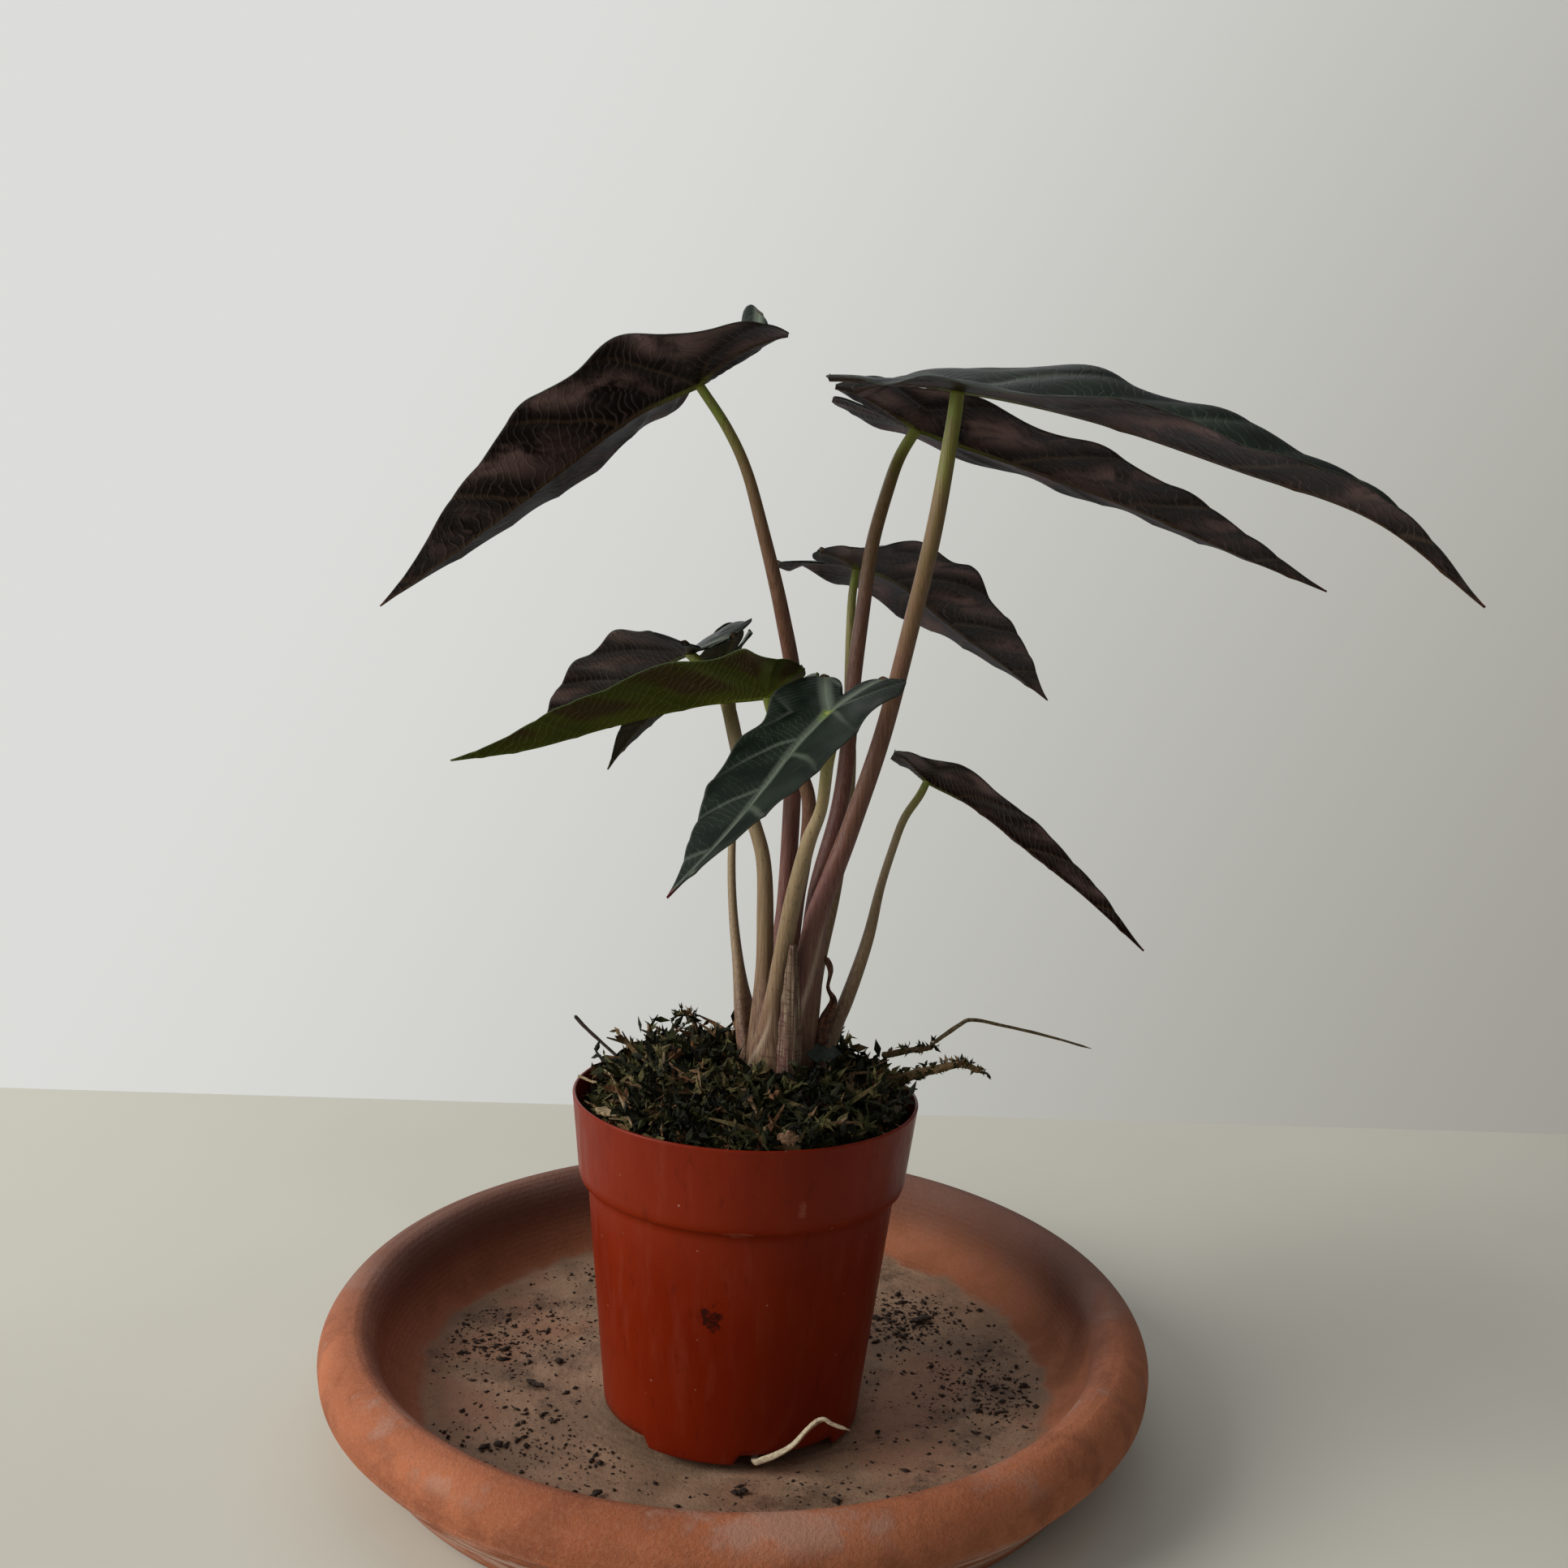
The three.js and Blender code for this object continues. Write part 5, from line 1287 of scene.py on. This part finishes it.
def make_chip(name):
    """A loose flake: an uneven plate with a pointed, broken outline."""
    skin, slot, centre, (long, wide), thick, turn, tilt = CHIPS[name]
    seed = sum(map(ord, name))
    rows, columns = 40, 14
    u = np.linspace(-1, 1, rows)[:, None]
    w = np.linspace(-1, 1, columns)[None]
    broken = 0.72 + 0.16 * np.sin(5.1 * u + seed) + 0.12 * np.sin(13 * u + 2 * seed)
    outline = (1 - np.abs(u)**3.2) * broken + 0.04
    x = long * (u + 0.06 * w * np.sin(9 * w + seed)) * 0.97
    y = wide * outline * w + 0.1 * wide * np.sin(7 * u + seed)
    bowed = 0.18 * thick * np.cos(4 * u + seed) * (1 - w**2)
    sheet = np.stack([x, y, bowed], -1).reshape(-1, 3)
    triangles = halved(grid_quads(rows, columns))
    edge = (1 - np.abs(u)**6) * (1 - np.abs(w)**5)
    half = thick * (0.12 + 0.32 * edge.ravel() * (0.8 + 0.25 * wobble(sheet, 1.4, seed)))
    points, faces = skinned(sheet, triangles, half, half)
    turn_by = Matrix.Rotation(math.radians(turn), 3, "Z") @ Matrix.Rotation(math.radians(tilt), 3, "X")
    points = points @ np.array(turn_by).T + np.array(centre)
    mesh = make_mesh(name + "_fine", points, faces)
    return make_piece(name + "_piece", mesh, [DRY[skin]], name)


def make_papery_sheath():
    """The thin dry scale in front of the stalks: pointed, hollow, with a torn margin."""
    s = PAPERY
    rows, columns = 60, 18
    rise = np.linspace(0, 1, rows)[:, None]
    out = np.linspace(-1, 1, columns)[None]
    ragged = 1 + 0.05 * np.sin(31 * rise + 4 * out) * np.abs(out)
    half = s["half"] * (1 - (1 - s["tip"]) * rise**2.2) * ragged
    cupped = s["curve"] * out**2 * (1 - 0.6 * rise)
    x, y, z = s["foot"]
    fold = 0.12 * np.sin(9 * out + 3 * rise)
    sheet = np.stack([x + out * half, y + cupped + rise * 0.5 + fold, z + rise * s["height"] + 0 * out],
                     -1).reshape(-1, 3)
    triangles = halved(grid_quads(rows, columns))[:, ::-1]
    skin = np.full(len(sheet), s["thick"] / 2)
    points, faces = skinned(sheet, triangles, skin, skin)
    mesh = make_mesh("papery_fine", points, faces)
    return make_piece("papery_scale", mesh, [DRY["papery"]], "papery_sheath")


def make_grit():
    """Crumbs of peat scattered on the saucer's floor, denser in a few drifts."""
    draw = np.random.default_rng(5)
    drifts = np.array(DRIFTS, float)
    count = GRIT["count"]
    pick = draw.choice(len(drifts), count, p=drifts[:, 3])
    spot = drifts[pick, :2] + draw.normal(size=(count, 2)) * drifts[pick, 2:3] * GRIT["spread"]
    from_pot = spot - POT["place"][:2]
    spot = spot[(np.hypot(*spot.T) < GRIT["within"]) & (np.hypot(*from_pot.T) > GRIT["beyond"])]
    n = len(spot)
    ground = floor_height(np.hypot(*spot.T))
    size = np.minimum(GRIT["least"] + draw.exponential(GRIT["usual"], n), GRIT["most"])
    corner = np.array([(1, 0, 0), (0, 1, 0), (-1, 0, 0), (0, -1, 0), (0, 0, 1), (0, 0, -1)], float)
    shape = corner[None] * draw.uniform(0.55, 1.35, (n, 6, 1)) * size[:, None, None]
    shape[:, :, 0] *= draw.uniform(0.9, 2.2, (n, 1))
    shape[:, :, 2] *= 0.7
    turn = draw.uniform(0, math.pi, n)
    c, s = np.cos(turn)[:, None], np.sin(turn)[:, None]
    x = shape[..., 0] * c - shape[..., 1] * s + spot[:, :1]
    y = shape[..., 0] * s + shape[..., 1] * c + spot[:, 1:]
    z = shape[..., 2] + (ground + size * 0.35)[:, None]
    points = np.stack([x, y, z], -1).reshape(-1, 3)
    cell = np.array([(0, 1, 4), (1, 2, 4), (2, 3, 4), (3, 0, 4), (1, 0, 5), (2, 1, 5), (3, 2, 5), (0, 3, 5)])
    faces = (cell[None] + np.arange(n)[:, None, None] * 6).reshape(-1, 3)
    mesh = make_mesh("floor_grit", points, [faces])
    return make_piece("floor_grit", mesh, [DRY["peat"]])


# Stage, light and camera

def stage_skin():
    p = Paint("pale_table", roughness=0.7, specular=0.2)
    place = p.place()
    p.colour(p.mix(p.ease(p.noise(place, 0.004, 3), 0.35, 0.65), *TABLE_TONES))
    p.bump(p.noise(place, 0.12, 3), 0.05)
    return p.material


def make_stage():
    wide, front, back = TABLE["half"], TABLE["front"], TABLE["back"]
    points = [(-wide, front, 0), (wide, front, 0), (wide, back, 0), (-wide, back, 0)]
    mesh = make_mesh("table", points, [np.array([[0, 1, 2, 3]])])
    mesh.materials.append(stage_skin())
    table = add_object("table", mesh)


def placed(right, above, back, place):
    """The transform of a lamp or a camera, from its axes and its place in metres."""
    turn = np.eye(4)
    turn[:3, :3] = np.stack([right, above, back], -1)
    turn[:3, 3] = place
    return Matrix(turn)


def make_lamp(name, place, aim, size, power, colour):
    lamp = bpy.data.lights.new(name, "AREA")
    lamp.size = size
    lamp.energy = power
    lamp.color = colour
    back = unit(np.array(place) - np.array(aim))
    side = unit(np.cross([0, 0, 1.0], back))
    add_object(name, lamp).matrix_world = placed(side, np.cross(back, side), back, place)


def make_light():
    """Two lamps, and a sky whose own light and whose look to the camera both fade to the right; the darker
    look on the right is painted shade.
    """
    for name, settings in LAMPS.items():
        make_lamp(name, *settings)
    world = bpy.data.worlds.new("studio")
    bpy.context.scene.world = world
    world.use_nodes = True
    world.node_tree.nodes.clear()
    sky = Nodes(world.node_tree)
    direction = sky.split(sky.node("TexCoord").outputs["Generated"])
    fade = sky.ease(sky.calc("MULTIPLY_ADD", direction["Z"], SKY_SLOPE, direction["X"]), *SKY_FADE)
    both = sky.node("MixShader")
    sky.put(both.inputs[0], sky.node("LightPath").outputs["Is Camera Ray"])
    for socket, (left, right) in ((both.inputs[1], SKY_LIGHT), (both.inputs[2], SKY_SEEN)):
        background = sky.node("Background")
        sky.put(background.inputs["Color"], sky.mix(fade, left, right))
        sky.put(socket, background.outputs[0])
    sky.put(sky.node("OutputWorld").inputs[0], both.outputs[0])
    bpy.context.scene.view_settings.view_transform = "Standard"


def make_camera():
    pitch, roll = math.radians(PITCH_DOWN), math.radians(ROLL)
    forward = np.array([0, math.cos(pitch), -math.sin(pitch)])
    level = np.array([1.0, 0, 0])
    up = np.cross(level, forward)
    right = math.cos(roll) * level + math.sin(roll) * up
    above = np.cross(right, forward)
    camera = bpy.data.cameras.new("camera")
    camera.lens = LENS
    camera.sensor_width = SENSOR
    camera.clip_start = 0.01
    holder = add_object("camera", camera)
    holder.matrix_world = placed(right, above, -forward, np.array(EYE) * MM)
    bpy.context.scene.camera = holder


DRY = {
    "straw": dry_skin("straw", (0.16, 0.11, 0.055), (0.33, 0.25, 0.14)),
    "straw_dark": dry_skin("dried_stem", (0.05, 0.032, 0.016), (0.19, 0.14, 0.06)),
    "peat": dry_skin("peat", (0.02, 0.011, 0.008), (0.05, 0.032, 0.021), rough=0.9),
    "bark": dry_skin("bark", (0.05, 0.033, 0.02), (0.16, 0.115, 0.07), rough=0.9),
    "rust": dry_skin("fibre", (0.12, 0.06, 0.03), (0.24, 0.14, 0.08), rough=0.9),
    "dead": dry_skin("dead_leaf", (0.03, 0.01, 0.006), (0.16, 0.055, 0.02), rough=0.5),
    "scrap": dry_skin("leaf_scrap", (0.003, 0.006, 0.004), (0.008, 0.015, 0.009), rough=0.6),
    "root": dry_skin("root", (0.42, 0.33, 0.20), (0.66, 0.58, 0.42), rough=0.6),
    "papery": papery_skin(),
    "mix": dry_skin("growing_mix", (0.012, 0.008, 0.006), (0.03, 0.02, 0.013), rough=0.95),
    "rhizome": dry_skin("rhizome", (0.07, 0.04, 0.022), (0.2, 0.13, 0.08), rough=0.8),
}
MOSS = moss_skin()

make_saucer()
make_pot()
make_moss()
for leaf in LEAVES:
    make_blade(leaf)
    make_stalk(leaf)
for strand in STRANDS:
    make_strand(strand)
for chip in CHIPS:
    make_chip(chip)
make_papery_sheath()
make_grit()
for node, skin in (("growing_mix", "mix"), ("rhizome", "rhizome")):
    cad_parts[node].data.materials.clear()
    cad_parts[node].data.materials.append(DRY[skin])
make_stage()
make_light()
make_camera()
